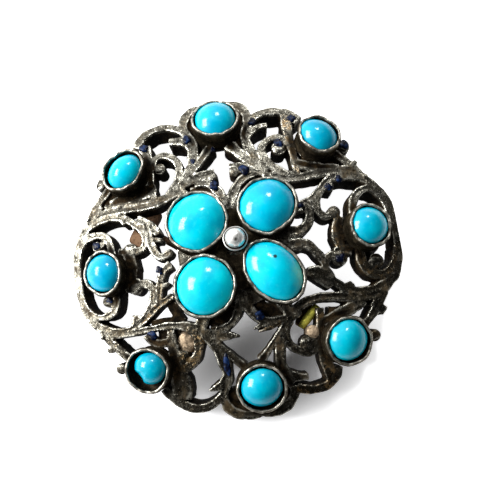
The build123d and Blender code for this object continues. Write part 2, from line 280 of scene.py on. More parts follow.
# Scrollwork in thousandths of the radius, each quarter mirrored to the upper right: the quarters that a
# scroll is in, five stops along it, its widths at the start, the middle and the end, the ball at its end,
# and how deep its middle is grooved, as a share of the full depth.
web = -1   # in the groove's place: a plain web lower than the scrolls
Scroll = namedtuple("Scroll", "where name stops widths ball groove")
scrolls = [Scroll(*row[:2], np.reshape(row[2:12], (5, 2)), row[12:15], *row[15:]) for row in [
    ("ne nw sw se", "trunk", 185, 280, 215, 325, 245, 375, 268, 420, 285, 465, 90, 80, 60, 0, 1),
    ("nw", "archStem", 262, 470, 205, 548, 168, 645, 166, 750, 208, 840, 50, 76, 60, 0, .7),
    ("se", "archStem", 260, 470, 205, 550, 174, 650, 172, 750, 215, 840, 50, 66, 60, 0, .7),
    ("ne", "archStem", 275, 470, 222, 555, 184, 655, 172, 745, 210, 830, 50, 64, 60, 0, .7),
    ("sw", "archStem", 260, 470, 205, 550, 166, 650, 162, 750, 205, 840, 45, 78, 54, 0, .7),
    ("nw", "arch", 215, 840, 280, 884, 365, 896, 455, 866, 522, 788, 52, 50, 64, 0, .3),
    ("ne", "arch", 215, 840, 285, 884, 365, 892, 450, 872, 522, 800, 56, 58, 70, 0, .3),
    ("sw", "arch", 215, 848, 285, 886, 368, 890, 462, 846, 550, 744, 50, 56, 50, 0, .3),
    ("se", "arch", 240, 860, 305, 884, 380, 886, 455, 858, 500, 772, 54, 54, 70, 0, .3),
    ("nw", "archLeaf", 170, 700, 196, 748, 230, 772, 270, 780, 306, 782, 50, 62, 46, 0, .35),
    ("ne", "archLeaf", 178, 705, 207, 760, 245, 784, 285, 794, 322, 797, 46, 56, 28, 0, .35),
    ("sw", "archLeaf", 168, 730, 190, 768, 218, 785, 248, 794, 280, 800, 44, 56, 14, 0, .35),
    ("se", "archLeaf", 185, 730, 212, 785, 250, 800, 285, 806, 320, 808, 44, 58, 36, 0, .35),
    ("ne nw", "crownLobe", 65, 990, 122, 986, 176, 950, 202, 890, 196, 830, 40, 66, 50, 0, .4),
    ("sw", "crownLobe", -10, 972, 68, 976, 142, 954, 190, 902, 198, 830, 50, 66, 54, 0, .4),
    ("se", "crownLobe", -10, 972, 90, 978, 176, 948, 218, 900, 226, 850, 50, 72, 54, 0, .4),
    ("ne nw sw se", "lobeWeb", 30, 950, 80, 942, 122, 918, 150, 875, 160, 820, 70, 76, 70, 0, web),
    ("ne nw", "footWeb", 40, 705, 65, 705, 90, 708, 115, 712, 145, 720, 80, 80, 80, 0, web),
    ("nw", "strut", 262, 465, 205, 522, 150, 580, 96, 642, 48, 706, 45, 44, 60, 0, .8),
    ("sw", "strut", 262, 465, 203, 525, 150, 582, 98, 642, 48, 700, 45, 36, 54, 0, .7),
    ("ne", "strut", 262, 468, 198, 530, 146, 590, 102, 645, 60, 695, 45, 62, 76, 0, .7),
    ("se", "strut", 265, 458, 206, 515, 155, 572, 105, 625, 52, 678, 45, 36, 54, 0, .7),
    ("nw", "tipLeaf", 265, 462, 208, 486, 152, 504, 98, 516, 50, 524, 45, 62, 30, 0, 1),
    ("nw", "tipLobe", 130, 505, 110, 500, 92, 494, 78, 490, 66, 486, 50, 50, 50, 32, 0),
    ("ne", "tipLeaf", 262, 462, 205, 476, 155, 500, 105, 536, 46, 546, 45, 58, 30, 0, .7),
    ("ne", "tipLobe", 130, 500, 112, 505, 96, 506, 82, 504, 70, 500, 46, 46, 40, 30, 0),
    ("sw", "tipLeaf", 265, 462, 210, 485, 160, 500, 110, 506, 50, 520, 60, 68, 12, 0, .4),
    ("se", "tipLeaf", 240, 455, 187, 458, 136, 464, 86, 474, 40, 492, 45, 46, 12, 0, .7),
    ("se", "tipBlade", 200, 470, 160, 488, 125, 500, 95, 505, 66, 507, 30, 26, 12, 0, 0),
    ("nw sw se", "heart", 5, 290, 30, 355, 62, 410, 108, 448, 180, 460, 70, 54, 50, 0, .9),
    ("ne", "heart", 15, 295, 48, 360, 85, 415, 128, 448, 190, 462, 70, 62, 50, 0, .9),
    ("ne nw sw se", "heartWeb", 35, 345, 85, 375, 130, 395, 175, 405, 215, 405, 90, 120, 90, 0, web),
    ("nw", "volute", 350, 415, 296, 474, 266, 555, 274, 635, 326, 688, 60, 52, 46, 0, .6),
    ("nw", "voluteEnd", 326, 688, 376, 692, 416, 660, 416, 618, 384, 606, 46, 44, 34, 36, .3),
    ("ne", "volute", 415, 420, 334, 470, 274, 550, 262, 632, 312, 690, 64, 64, 44, 0, .4),
    ("ne", "voluteEnd", 312, 690, 355, 700, 396, 690, 406, 655, 370, 620, 44, 44, 46, 46, .3),
    ("sw", "volute", 350, 415, 306, 470, 298, 535, 322, 596, 362, 632, 55, 62, 56, 0, .4),
    ("sw", "voluteEnd", 362, 632, 400, 650, 436, 640, 440, 602, 408, 582, 56, 50, 46, 42, .3),
    ("se", "volute", 330, 420, 264, 460, 228, 535, 242, 614, 302, 660, 56, 46, 50, 0, .4),
    ("se", "voluteEnd", 302, 660, 348, 668, 386, 652, 384, 624, 352, 618, 52, 54, 50, 52, .3),
    ("nw", "bar", 464, 780, 456, 730, 450, 655, 450, 555, 448, 410, 80, 56, 52, 0, .3),
    ("ne", "bar", 450, 850, 444, 760, 446, 670, 450, 570, 456, 435, 70, 56, 40, 0, .3),
    ("sw", "bar", 452, 820, 440, 760, 440, 690, 450, 600, 455, 420, 130, 100, 50, 0, .3),
    ("se", "bar", 460, 835, 446, 770, 432, 690, 434, 600, 450, 420, 80, 64, 50, 0, .3),
    ("nw", "band", 290, 430, 400, 386, 540, 374, 680, 388, 800, 388, 60, 50, 50, 0, 1),
    ("nw", "bandRidge", 370, 420, 460, 404, 560, 404, 660, 416, 760, 424, 20, 26, 30, 0, 0),
    ("sw", "band", 290, 430, 400, 396, 540, 384, 680, 386, 800, 376, 60, 40, 46, 0, .9),
    ("ne", "band", 290, 435, 410, 404, 540, 412, 680, 426, 800, 418, 60, 62, 62, 0, .9),
    ("se", "band", 290, 420, 400, 368, 540, 364, 680, 384, 800, 386, 60, 60, 54, 0, 1),
    ("nw sw", "rim", 800, 388, 878, 328, 940, 243, 976, 135, 982, 0, 50, 56, 54, 0, .35),
    ("ne se", "rim", 800, 392, 888, 336, 962, 248, 996, 135, 998, 0, 50, 56, 54, 0, .35),
    ("nw", "longScroll", 915, 296, 830, 338, 735, 350, 645, 324, 574, 262, 46, 50, 46, 0, .7),
    ("nw", "scrollEnd", 574, 262, 532, 208, 530, 142, 576, 100, 632, 112, 44, 48, 46, 46, .35),
    ("nw", "scrollFoot", 600, 102, 626, 100, 652, 104, 678, 112, 705, 122, 40, 46, 46, 0, .5),
    ("ne", "longScroll", 915, 318, 845, 366, 755, 388, 655, 374, 575, 303, 50, 68, 54, 0, .7),
    ("ne", "scrollEnd", 575, 303, 540, 238, 543, 170, 585, 130, 636, 152, 54, 50, 46, 42, .35),
    ("sw", "longScroll", 915, 290, 825, 345, 728, 368, 636, 342, 567, 272, 46, 48, 46, 0, .7),
    ("se", "longScroll", 915, 298, 825, 340, 728, 352, 636, 330, 567, 274, 60, 56, 54, 0, .7),
    ("sw", "scrollEnd", 567, 272, 530, 210, 528, 150, 570, 108, 626, 122, 46, 52, 56, 44, .35),
    ("se", "scrollEnd", 567, 274, 530, 210, 533, 148, 576, 116, 621, 138, 52, 52, 56, 50, .35),
    ("sw se", "scrollFoot", 600, 95, 626, 90, 652, 90, 678, 92, 705, 98, 50, 60, 70, 0, .5),
    ("nw", "scrollSpur", 648, 330, 645, 318, 642, 308, 640, 298, 638, 288, 60, 60, 44, 0, .4),
    ("ne", "scrollSpur", 640, 345, 636, 330, 632, 316, 629, 304, 626, 292, 60, 58, 50, 0, .4),
    ("sw se", "scrollSpur", 656, 345, 652, 328, 648, 313, 645, 300, 642, 288, 64, 68, 46, 0, .4),
    ("nw sw", "sideHook", 980, 100, 942, 205, 862, 258, 782, 235, 752, 95, 44, 46, 56, 0, .6),
    ("se", "sideHook", 988, 100, 948, 210, 865, 262, 782, 230, 750, 95, 48, 56, 66, 0, .6),
    ("ne", "sideHook", 986, 120, 955, 230, 876, 290, 792, 252, 752, 120, 50, 52, 60, 0, .6),
    ("nw", "sideCurl", 795, 245, 790, 215, 800, 192, 820, 182, 840, 186, 38, 34, 30, 30, .3),
    ("sw", "sideCurl", 790, 240, 778, 215, 780, 190, 795, 172, 812, 170, 44, 40, 36, 34, .3),
    ("se", "sideCurl", 790, 240, 798, 210, 812, 188, 830, 178, 845, 178, 44, 46, 46, 48, .3),
    ("nw", "innerHook", 512, 262, 502, 190, 492, 100, 448, 36, 392, 52, 44, 48, 48, 22, .7),
    ("ne", "innerHook", 484, 248, 486, 178, 468, 104, 412, 62, 330, 52, 50, 60, 90, 0, .7),
    ("sw", "innerHook", 500, 258, 486, 180, 470, 105, 440, 50, 395, 22, 44, 50, 56, 0, .7),
    ("se", "innerHook", 530, 165, 506, 120, 478, 74, 432, 30, 345, 26, 50, 62, 85, 0, .7),
    ("nw", "hookLink", 446, 180, 462, 212, 488, 244, 520, 275, 562, 304, 46, 60, 50, 0, .8),
    ("ne", "hookLink", 425, 224, 462, 234, 500, 250, 532, 272, 560, 300, 56, 44, 36, 0, .7),
    ("sw", "hookLink", 412, 212, 466, 240, 518, 268, 562, 298, 605, 332, 40, 40, 40, 0, 1),
    ("se", "hookLink", 410, 196, 446, 206, 482, 220, 508, 256, 545, 302, 60, 104, 54, 0, .7),
    ("nw", "hookSpur", 496, 150, 476, 150, 458, 147, 444, 142, 432, 134, 36, 34, 22, 0, 0),
    ("sw", "hookSpur", 490, 150, 472, 149, 454, 146, 438, 140, 424, 130, 32, 32, 20, 0, 0),
    ("ne", "hookSpur", 400, 205, 408, 190, 420, 182, 434, 180, 450, 184, 40, 36, 36, 0, 0),
    ("sw", "slotWeb", 365, 372, 400, 365, 445, 352, 500, 350, 570, 352, 40, 40, 40, 0, web),
    ("sw", "slotSide", 380, 372, 396, 340, 412, 305, 426, 275, 440, 245, 60, 60, 50, 0, web),
    ("ne nw sw se", "sideStrut", 665, 125, 650, 90, 640, 60, 636, 30, 634, -10, 55, 68, 72, 0, .3),
    ("ne nw sw se", "corner", 690, 560, 740, 520, 785, 472, 825, 425, 865, 350, 55, 52, 52, 0, .7),
    ("ne", "cornerLeaf", 785, 430, 800, 446, 815, 460, 826, 470, 836, 480, 55, 50, 28, 0, .2),
    ("nw", "cornerLeaf", 785, 405, 802, 418, 820, 428, 836, 436, 850, 442, 55, 46, 22, 0, .2),
    ("sw", "cornerLeaf", 785, 430, 804, 443, 822, 453, 840, 460, 856, 466, 55, 48, 30, 0, .2),
    ("se", "cornerLeaf", 780, 420, 800, 442, 818, 460, 834, 474, 846, 486, 60, 70, 56, 0, .2),
    ("ne nw sw", "rimKnob", 850, 385, 856, 382, 862, 379, 868, 376, 874, 373, 30, 34, 34, 20, 0),
    ("nw", "underLeaf", 445, 482, 500, 470, 570, 458, 640, 450, 720, 430, 96, 90, 60, 0, .7),
    ("nw", "cornerWeb", 600, 505, 640, 490, 680, 478, 720, 462, 760, 440, 110, 110, 90, 0, web),
    ("ne", "underLeaf", 445, 505, 510, 480, 580, 462, 640, 452, 720, 440, 70, 66, 50, 0, .7),
    ("ne", "cornerWeb", 500, 540, 550, 520, 600, 510, 660, 510, 720, 500, 80, 80, 70, 0, web),
    ("se", "cornerWeb", 500, 452, 560, 458, 610, 456, 660, 448, 710, 432, 60, 70, 50, 0, web),
    ("sw", "cornerWeb", 400, 440, 435, 438, 470, 434, 505, 430, 535, 428, 80, 80, 60, 0, web),
    ("se", "underLeaf", 452, 505, 520, 484, 590, 462, 655, 440, 730, 412, 56, 80, 56, 0, .7),
    ("sw", "underLeaf", 455, 472, 500, 480, 548, 472, 584, 450, 606, 415, 50, 54, 40, 0, .7),
    ("ne nw sw se", "sideStem", 630, 0, 655, 2, 680, 3, 705, 2, 730, 0, 72, 66, 80, 0, .3),
    ("ne", "beadStem", 640, 630, 680, 620, 715, 610, 745, 600, 772, 590, 50, 50, 50, 44, 0),
    ("nw", "beadStem", 640, 630, 680, 618, 712, 606, 742, 594, 768, 582, 50, 50, 50, 34, 0),
    ("nw", "beadLeaf", 745, 590, 756, 600, 766, 608, 775, 613, 784, 616, 40, 34, 18, 0, 0),
    ("sw", "beadStem", 640, 625, 690, 615, 725, 603, 760, 590, 790, 582, 50, 50, 44, 34, 0),
    ("se", "beadStem", 640, 640, 680, 636, 708, 632, 734, 627, 757, 622, 50, 50, 50, 38, 0),
]]

Seat = namedtuple("Seat", "x y radius")
seats = [Seat(0, 0, .345), Seat(.002, .812, .122), Seat(.600, .612, .122), Seat(.790, .002, .122)]
# Scrolls with remains of gilding, and the quarters that have them
gilded = dict(bar="ne se", arch="se", tipBlade="se", sideStrut="se ne", voluteEnd="sw", volute="sw",
              sideHook="se", hookLink="sw")
quarters = dict(ne=(1, 1), nw=(-1, 1), sw=(-1, -1), se=(1, -1))
Path = namedtuple("Path", "plan width groove gilt")


def wallDepth(plan):
    # Length of a wall that goes down square to the dome, as far as the underside.
    distance = fromAxis(plan)
    _, normal = onDome(plan)
    return (plateTop(distance) - plateUnderside(distance)) / normal[..., 2]


def scrollPath(scroll, quarter, seed):
    # A scroll's middle line in plan, its width at each stop, its groove and whether it is gilded.
    knots = scroll.stops / 1000 * plate["radius"] * quarters[quarter]
    length = np.linalg.norm(np.diff(knots, axis=0), axis=1).sum()
    count = max(8, int(length / plate["stopSpacing"]))
    plan = curveThrough(knots, count)
    width = np.interp(np.linspace(0, 1, count), (0, 0.5, 1), np.array(scroll.widths) / 1000) * plate["radius"]
    width = width * (1 + plate["widthUnevenness"] * unevenness(plan, plate["widthUnevenSize"], seed + 1))
    return Path(plan, width, scroll.groove, quarter in gilded.get(scroll.name, ""))


def sweepScroll(scroll, path, seed):
    # Profile along a path on the dome: an oval-topped bar with walls square to the dome. A web lies lower.
    count = len(path.plan)
    wobble = unevenness(path.plan, plate["sideUnevenSize"], seed)[:, None]
    point, normal = onDome(path.plan)
    way = unit(np.gradient(point, axis=0))
    across = unit(np.cross(normal, way))
    point = point + across * wobble * plate["sideUnevenness"]
    edge = np.linspace(1, -1, 13)
    top = plate["crownRise"] * (1 - edge**2) - np.where(np.abs(edge) > 0.95, 0.05 * mm, 0)
    top = top - (plate["webDrop"] if scroll.groove == web else 0)
    draft = plate["wallDraft"]
    sides = np.array([(-1 - draft / 2, 0.35), (-1 - draft, 0.8), (-0.9, 1.0),
                      (0.9, 1.0), (1 + draft, 0.8), (1 + draft / 2, 0.35)])
    shareAcross = np.concatenate([edge, sides[:, 0]])
    walls = -wallDepth(path.plan)[:, None] * sides[None, :, 1]
    rise = np.concatenate([np.broadcast_to(top, (count, len(edge))), walls], 1)
    section = point[:, None] + across[:, None] * (path.width[:, None] / 2 * shareAcross)[..., None]
    section = section + normal[:, None] * rise[..., None]
    section[..., 2] = np.maximum(section[..., 2], 0)
    shells = [capped(section)]
    if scroll.ball:
        shells.append(boss(path.plan[-1], scroll.ball / 1000 * plate["radius"], plate["ballRise"]))
    return shells


def carve(points, normals, paths):
    # Chisel work on the plate's top: each point takes the scroll whose middle line it is nearest to, for its
    # width. The top sinks along the middle by the scroll's groove and falls away past its sides. Masks come
    # with the shift: the sunk middle, the sides, the lips beside the groove and the gilded scrolls.
    centre = np.concatenate([path.plan for path in paths])
    sideways = unit(np.concatenate([np.gradient(path.plan, axis=0)[:, ::-1] * (-1, 1) for path in paths]))
    half = np.concatenate([path.width / 2 for path in paths])
    groove = np.concatenate([np.full(len(path.plan), path.groove) for path in paths])
    gilt = np.concatenate([np.full(len(path.plan), path.gilt) for path in paths])
    nearest = np.empty(len(points), int)
    line, inverse = centre.astype(np.float32), (1 / half**2).astype(np.float32)
    for start in range(0, len(points), 2000):
        part = points[start:start + 2000, :2].astype(np.float32)
        away = ((part[:, :1] - line[:, 0]) ** 2 + (part[:, 1:] - line[:, 1]) ** 2) * inverse
        nearest[start:start + 2000] = away.argmin(1)
    groove, gilt = groove[nearest], gilt[nearest]
    share = np.abs(((points[:, :2] - centre[nearest]) * sideways[nearest]).sum(1)) / half[nearest]
    _, upward = onDome(points[:, :2])
    below = plateTop(fromAxis(points)) - points[:, 2]
    facing = np.clip(((normals * upward).sum(1) - 0.5) / 0.3, 0, 1)
    facing *= np.clip(1 - (below - 0.3 * mm) / (0.2 * mm), 0, 1)
    middle = groove * np.exp(-(share / plate["grooveWidth"]) ** 2) * facing
    border = np.clip((share - plate["borderStart"]) / plate["borderWidth"], 0, 1) * facing
    lip = np.exp(-((share - plate["lipPlace"]) / plate["lipWidth"]) ** 2) * facing
    lip = lip * (0.55 + 0.45 * groove) * (1 - 0.7 * gilt)   # stronger by deep grooves, weaker under gilding
    shift = -(middle * plate["grooveDepth"] + border * plate["borderDepth"])[:, None] * upward
    return shift, middle, border, lip, gilt


def boss(plan, radius, rise, steps=24, sink=0.0):
    # Round pad on the dome, or sunk into it: a low ball on top, then a wall down to the underside.
    _, cosine, sine = ring(steps)
    point, normal = onDome(plan)
    point = point - normal * sink
    sideways = unit(np.cross(normal, (0, 1, 0)))
    other = np.cross(normal, sideways)
    depth = wallDepth(plan) - sink
    profile = np.array([(0, rise), (0.45, rise * 0.85), (0.8, rise * 0.45), (0.97, -0.03 * mm),
                        (1, -0.15 * mm), (1, -depth * 0.9), (0.8, -depth), (0, -depth)])
    circle = cosine[:, None] * sideways + sine[:, None] * other
    points = point + profile[:, :1, None] * radius * circle[None] + profile[:, 1:2, None] * normal
    points[..., 2] = np.maximum(points[..., 2], 0)
    return grid(points)


def seatDisc(x, y, radius, steps=72):
    # Plain disc of the plate: both faces follow the vaults.
    _, cosine, sine = ring(steps)
    share = np.array([0, 0.3, 0.6, 0.9, 1, 1, 0.6, 0.3, 0])
    plan = np.array([x, y]) + (share[:, None, None] * radius) * np.stack([cosine, sine], -1)[None]
    distance = fromAxis(plan)
    isTop = np.arange(len(share))[:, None] < 5
    height = np.where(isTop, plateTop(distance), plateUnderside(distance))
    return grid(np.concatenate([plan, height[..., None]], -1))


def dropDoubleFaces(mesh):
    # Takes out faces that lie back to back on the same corners: those with the same lowest and highest
    # corner numbers, sum of them and sum of their squares.
    corners = np.empty(len(mesh.loops), np.int32)
    mesh.loops.foreach_get("vertex_index", corners)
    start = np.empty(len(mesh.polygons), np.int32)
    mesh.polygons.foreach_get("loop_start", start)
    corners = corners.astype(np.int64)
    keys = np.stack([np.minimum.reduceat(corners, start), np.maximum.reduceat(corners, start),
                     np.add.reduceat(corners, start), np.add.reduceat(corners**2, start)], 1)
    _, kind, count = np.unique(keys, axis=0, return_inverse=True, return_counts=True)
    work = bmesh.new()
    work.from_mesh(mesh)
    work.faces.ensure_lookup_table()
    doubles = [work.faces[face] for face in np.flatnonzero(count[kind.ravel()] > 1)]
    bmesh.ops.delete(work, geom=doubles, context="FACES")
    work.to_mesh(mesh)
    work.free()


def fuseShells(name, shells):
    # Overlapping closed shells become one casting: a voxel skin, smoothed, thinned and then a little uneven.
    # The work is done at a thousand times the size, as voxels can't be smaller than a tenth of a millimetre.
    big = 1 / mm
    mesh = buildMesh(name + "Shells", [(points * big, quads) for points, quads in shells], weld=1e-5)
    work = newObject(name + "Shells", mesh)
    skin = work.modifiers.new("skin", "REMESH")
    skin.mode = "VOXEL"
    skin.voxel_size = plate["voxel"] * big
    soften = work.modifiers.new("soften", "SMOOTH")
    soften.factor = 0.5
    soften.iterations = 1
    graph = bpy.context.evaluated_depsgraph_get()
    full = sum(len(p.vertices) - 2 for p in work.evaluated_get(graph).data.polygons)
    thin = work.modifiers.new("thin", "DECIMATE")
    thin.ratio = min(1, plate["triangles"] / full)
    graph = bpy.context.evaluated_depsgraph_get()
    result = bpy.data.meshes.new_from_object(work.evaluated_get(graph))
    bpy.data.objects.remove(work)
    result.name = name
    dropDoubleFaces(result)
    points, normals, _ = meshArrays(result)
    points = points / big
    rough = unevenness(points, plate["topUnevenSize"], plate["topSeed"])
    points += normals * (rough * plate["topUnevenness"])[:, None]
    points = np.clip(points, np.array(cadBox[0]) + 1e-6, np.array(cadBox[1]) - 1e-6)
    result.vertices.foreach_set("co", points.astype(np.float32).ravel())
    result.update()
    result.polygons.foreach_set("use_smooth", np.ones(len(result.polygons), bool))
    print(name, "fused from", full, "to", len(result.polygons), "faces")
    return result


# Cups

# Direction of the cup's rim from the middle in degrees, its distance and widths as shares of the nominal
# ones, how far its oval is turned, the stone's widths as shares of the well, how far the stone lies outward
# and counterclockwise, where the outline has a blunt corner and how far that stands out, and the share that
# is chipped off the stone's outer side.
Setting = namedtuple("Setting", ["angle", "reach", "radial", "across", "twist", "stoneRadial", "stoneAcross",
                                 "outward", "aside", "corner", "rise", "chip"], defaults=(0,))
ringSettings = [
    Setting(89.6, .852, 1.00, 1.08, 0, 1.03, 0.93, 0.0, 0.0, 200, .02),
    Setting(45.9, .906, 0.95, 1.00, 0, 0.90, 0.99, -0.6, 0.3, -110, .05),
    Setting(1.3, .836, 0.97, 0.99, 0, 0.97, 0.93, 0.0, 0.0, 120, .03),
    Setting(-48.1, .879, 1.05, 1.05, 0, 0.91, 0.93, -0.7, 0.0, 60, .03),
    Setting(-87.9, .852, 1.06, 1.07, 0, 0.86, 0.92, -0.3, 0.2, -20, .02),
    Setting(-134.2, .894, 0.98, 0.98, 0, 0.77, 0.82, -0.8, 0.3, 140, .03, .20),
    Setting(-178.9, .809, 0.92, 1.00, 0, 0.97, 0.93, 0.0, 0.0, -60, .03),
    Setting(134.8, .862, 0.95, 1.06, 0, 0.86, 0.90, -0.7, 0.0, -60, .02),
]
clusterSettings = [
    Setting(136.3, 0.95, 0.98, 1.01, 0, 0.98, 1.00, 0.0, 0.0, -82, .04),
    Setting(43.6, 1.12, 0.99, 0.92, -10, 0.97, 0.98, 0.0, 0.0, -92, .05),
    Setting(-40.8, 0.97, 1.12, 0.85, -14, 0.97, 0.99, 0.0, 0.0, -75, .03),
    Setting(-134.6, 1.02, 1.00, 0.97, 0, 0.97, 0.98, 0.0, 0.0, 88, .04),
]
ringCup = dict(width=5.8 * mm, height=2.4 * mm, depth=0.9 * mm, lean=18.0, bearing=0.9 * mm,
               reach=plate["radius"], stoneHeight=2.5 * mm, facets=11)
clusterCup = dict(width=8.0 * mm, height=2.1 * mm, depth=0.5 * mm, lean=6.0, bearing=0.75 * mm,
                  reach=5.8 * mm, stoneHeight=2.6 * mm, facets=15)
cupShape = dict(
    wall=0.4 * mm,
    rimThickness=0.30 * mm,
    footShare=0.88,
    rimLean=0.14 * mm,      # rim pressed in over the stone
    rimUnevenness=0.07 * mm,
    sideUnevenness=0.06 * mm,
    facetDepth=0.035,
    facetWander=0.4,
    cornerWidth=0.35,       # in radians
    steps=120,
)
# Grime and painted shade on the plate round a ring cup: its depth, and its width as a share of half the cup's
footDirtAndShade = dict(depth=0.5 * mm, width=0.35)
stoneShape = dict(
    gap=0.06 * mm,
    seatGap=0.05 * mm,
    rimCover=0.22 * mm,     # rim's height above the stone's girdle
    unevenness=0.012,
    chipTurn=-18.0,         # in degrees from the outward side
    chipWidth=0.42,
    lumpHeight=0.03 * mm,
    steps=96,
)


def cupFrame(setting, cup):
    # Place of a cup: where its axis meets the dome, and its outward, crosswise and upward directions.
    angle, lean = math.radians(setting.angle), math.radians(cup["lean"])
    outward = np.array([math.cos(angle), math.sin(angle), 0])
    axis = outward * math.sin(lean) + np.array([0, 0, math.cos(lean)])
    crosswise = np.array([-math.sin(angle), math.cos(angle), 0])
    distance = setting.reach * cup["reach"] - cup["height"] * math.sin(lean)
    origin = outward * distance + np.array([0, 0, float(plateTop(distance))])
    return origin, np.cross(crosswise, axis), crosswise, axis


def ovalOutline(setting, turn, halves):
    # Plan of a cup or stone about its axis: an oval turned by the twist, pushed out round its blunt corner.
    twist = math.radians(setting.twist)
    off = angleOff(turn, math.radians(setting.corner - setting.angle))
    swell = 1 + setting.rise * np.exp(-(off / cupShape["cornerWidth"]) ** 2)
    x, y = halves[0] * np.cos(turn - twist), halves[1] * np.sin(turn - twist)
    cosine, sine = math.cos(twist), math.sin(twist)
    return (x * cosine - y * sine) * swell, (x * sine + y * cosine) * swell


def placed(frameOf, x, y, z):
    # Points of a cup or stone: x outward, y crosswise and z along the axis of the frame.
    origin, outward, crosswise, axis = frameOf
    return origin + x[..., None] * outward + y[..., None] * crosswise + z[..., None] * axis


def makeCup(setting, cup, seed):
    # Hand-hammered oval cup: a profile turned about the cup's axis, its radius faceted and its rim uneven.
    turn, cosine, sine = ring(cupShape["steps"])
    halves = (setting.radial * cup["width"] / 2, setting.across * cup["width"] / 2)
    around = np.stack([cosine, sine], -1)
    blow = turn * cup["facets"] / (2 * math.pi) + cupShape["facetWander"] * unevenness(around, 1.2, seed)
    facet = np.abs((blow % 1) - 0.5) * 2
    facet = -cupShape["facetDepth"] * (1 - facet**2) * cup["width"] / 8
    wave = unevenness(around, 0.9, seed + 1) * cupShape["sideUnevenness"] + facet * 2
    nick = unevenness(around, 0.45, seed + 2) * cupShape["rimUnevenness"]
    wall, rim, lean = cupShape["wall"], cupShape["rimThickness"], cupShape["rimLean"]
    height, bearing, depth = cup["height"], cup["bearing"], cup["depth"]
    foot = (cupShape["footShare"] - 1) * cup["width"] / 2
    Turn = namedtuple("Turn", "inset height wave nick")   # inset from the outer half width, None on the axis
    profile = [
        Turn(None, bearing, 0, 0),
        Turn(-wall, bearing, 0, 0),
        Turn(-wall, height * 0.6, 0.5, 0),
        Turn(-wall - lean * 0.3, height * 0.85, 1, 0.4),
        Turn(-rim - lean, height - 0.08 * mm, 1, 1),
        Turn(-rim * 0.8 - lean, height - 0.02 * mm, 1, 1),
        Turn(-rim * 0.5 - lean, height, 1, 1),
        Turn(-rim * 0.15 - lean, height - 0.03 * mm, 1, 1),
        Turn(-lean * 0.9, height - 0.12 * mm, 1, 0.9),
        Turn(-lean * 0.9, height * 0.84, 1, 0.6),
        Turn(-lean * 0.2, height * 0.80, 1, 0.4),
        Turn(foot * 0.25, height * 0.55, 1, 0),
        Turn(foot * 0.50, height * 0.35, 0.8, 0),
        Turn(foot * 0.75, height * 0.15, 0.6, 0),
        Turn(foot * 0.8, 0.05 * mm, 0.4, 0),
        Turn(foot * 0.4, -0.16 * mm, 0.3, 0),
        Turn(foot * 0.4, -depth, 0.2, 0),
        Turn(None, -depth, 0, 0),
    ]
    rows = []
    for row in profile:
        grow = wave * row.wave + (row.inset or 0)
        x, y = ovalOutline(setting, turn, (halves[0] + grow, halves[1] + grow))
        outside = 0 if row.inset is None else 1
        level = row.height + nick * row.nick + 0 * turn
        rows.append(placed(cupFrame(setting, cup), x * outside, y * outside, level))
    return grid(np.array(rows))


def nearestCup(points, settings, cup):
    # Frame of each cup, and each point's distance in plan from each.
    frames = [cupFrame(setting, cup) for setting in settings]
    return frames, np.stack([fromAxis(points - place[0]) for place in frames])


def belowRim(points, settings, cup):
    # Depth of each point under the rim of the cup that it is nearest to, along that cup's axis.
    frames, reach = nearestCup(points, settings, cup)
    depth = np.stack([cup["height"] - (points - place[0]) @ place[3] for place in frames])
    return np.maximum(depth[reach.argmin(0), np.arange(len(points))], 0)


def footGrimeAndShade(points):
    # Grime and painted shade on the plate at the foot of the nearest ring cup, darkest at the cup and fading
    # away from it as a bell curve.
    _, reach = nearestCup(points, ringSettings, ringCup)
    off = np.maximum(reach.min(0) / (ringCup["width"] / 2) - 1, 0) / footDirtAndShade["width"]
    return footDirtAndShade["depth"] * np.exp(-off**2)


def makeStone(setting, cup, seed):
    # Cabochon: a straight girdle nearly as high as the cup's rim, and above it a cap of even curve.
    turn, cosine, sine = ring(stoneShape["steps"])
    foot = cup["bearing"] + stoneShape["seatGap"]
    girdle = cup["height"] - foot - stoneShape["rimCover"]
    spare = cupShape["wall"] + stoneShape["gap"]
    room = [share * cup["width"] / 2 - spare for share in (setting.radial, setting.across)]
    halves = (room[0] * setting.stoneRadial, room[1] * setting.stoneAcross)
    slide = ((room[0] - halves[0]) * setting.outward, (room[1] - halves[1]) * setting.aside)
    uneven = stoneShape["unevenness"]
    outline = 1 - uneven + uneven * unevenness(np.stack([cosine, sine], -1), 2.2, seed)
    off = angleOff(turn, math.radians(stoneShape["chipTurn"]))
    outline = outline - setting.chip * np.exp(-(off / stoneShape["chipWidth"]) ** 4)
    cap = cup["stoneHeight"] - girdle
    edgeLean = 2 * math.atan(cap / (sum(halves) / 2))
    lean = np.linspace(edgeLean, 0, 28)
    share = np.concatenate([[0, 0.9, 0.97, 1], np.sin(lean) / math.sin(edgeLean)])
    rise = (np.cos(lean) - math.cos(edgeLean)) / (1 - math.cos(edgeLean))
    height = np.concatenate([[0, 0, 0.03 * mm, 0.1 * mm], girdle + cap * rise]) + foot
    x, y = ovalOutline(setting, turn, halves)
    x = slide[0] + share[:, None] * x * outline
    y = slide[1] + share[:, None] * y * outline
    points = placed(cupFrame(setting, cup), x, y, height[:, None] + 0 * x)
    lump = unevenness(points, 2.5 * mm, seed + 3) * stoneShape["lumpHeight"] * (1 - share[:, None] ** 4)
    return grid(points + lump[..., None] * cupFrame(setting, cup)[3])


# Cluster's web, rivet, drops and clasp

cluster = dict(webRadius=5.0 * mm, webTop=6.65 * mm, webUnevenness=0.06 * mm, gap=0.05 * mm, webSeed=31)
stud = dict(x=0.3 * mm, y=0.45 * mm, radius=0.8 * mm, collarRadius=1.5 * mm, collarFoot=8.35 * mm,
            collarHeight=0.50 * mm, ballRadius=1.24 * mm, headRadius=1.3 * mm, headHeight=0.4 * mm,
            headOff=0.22 * mm, grooveWidth=0.21 * mm, unevenness=0.012, seed=51)
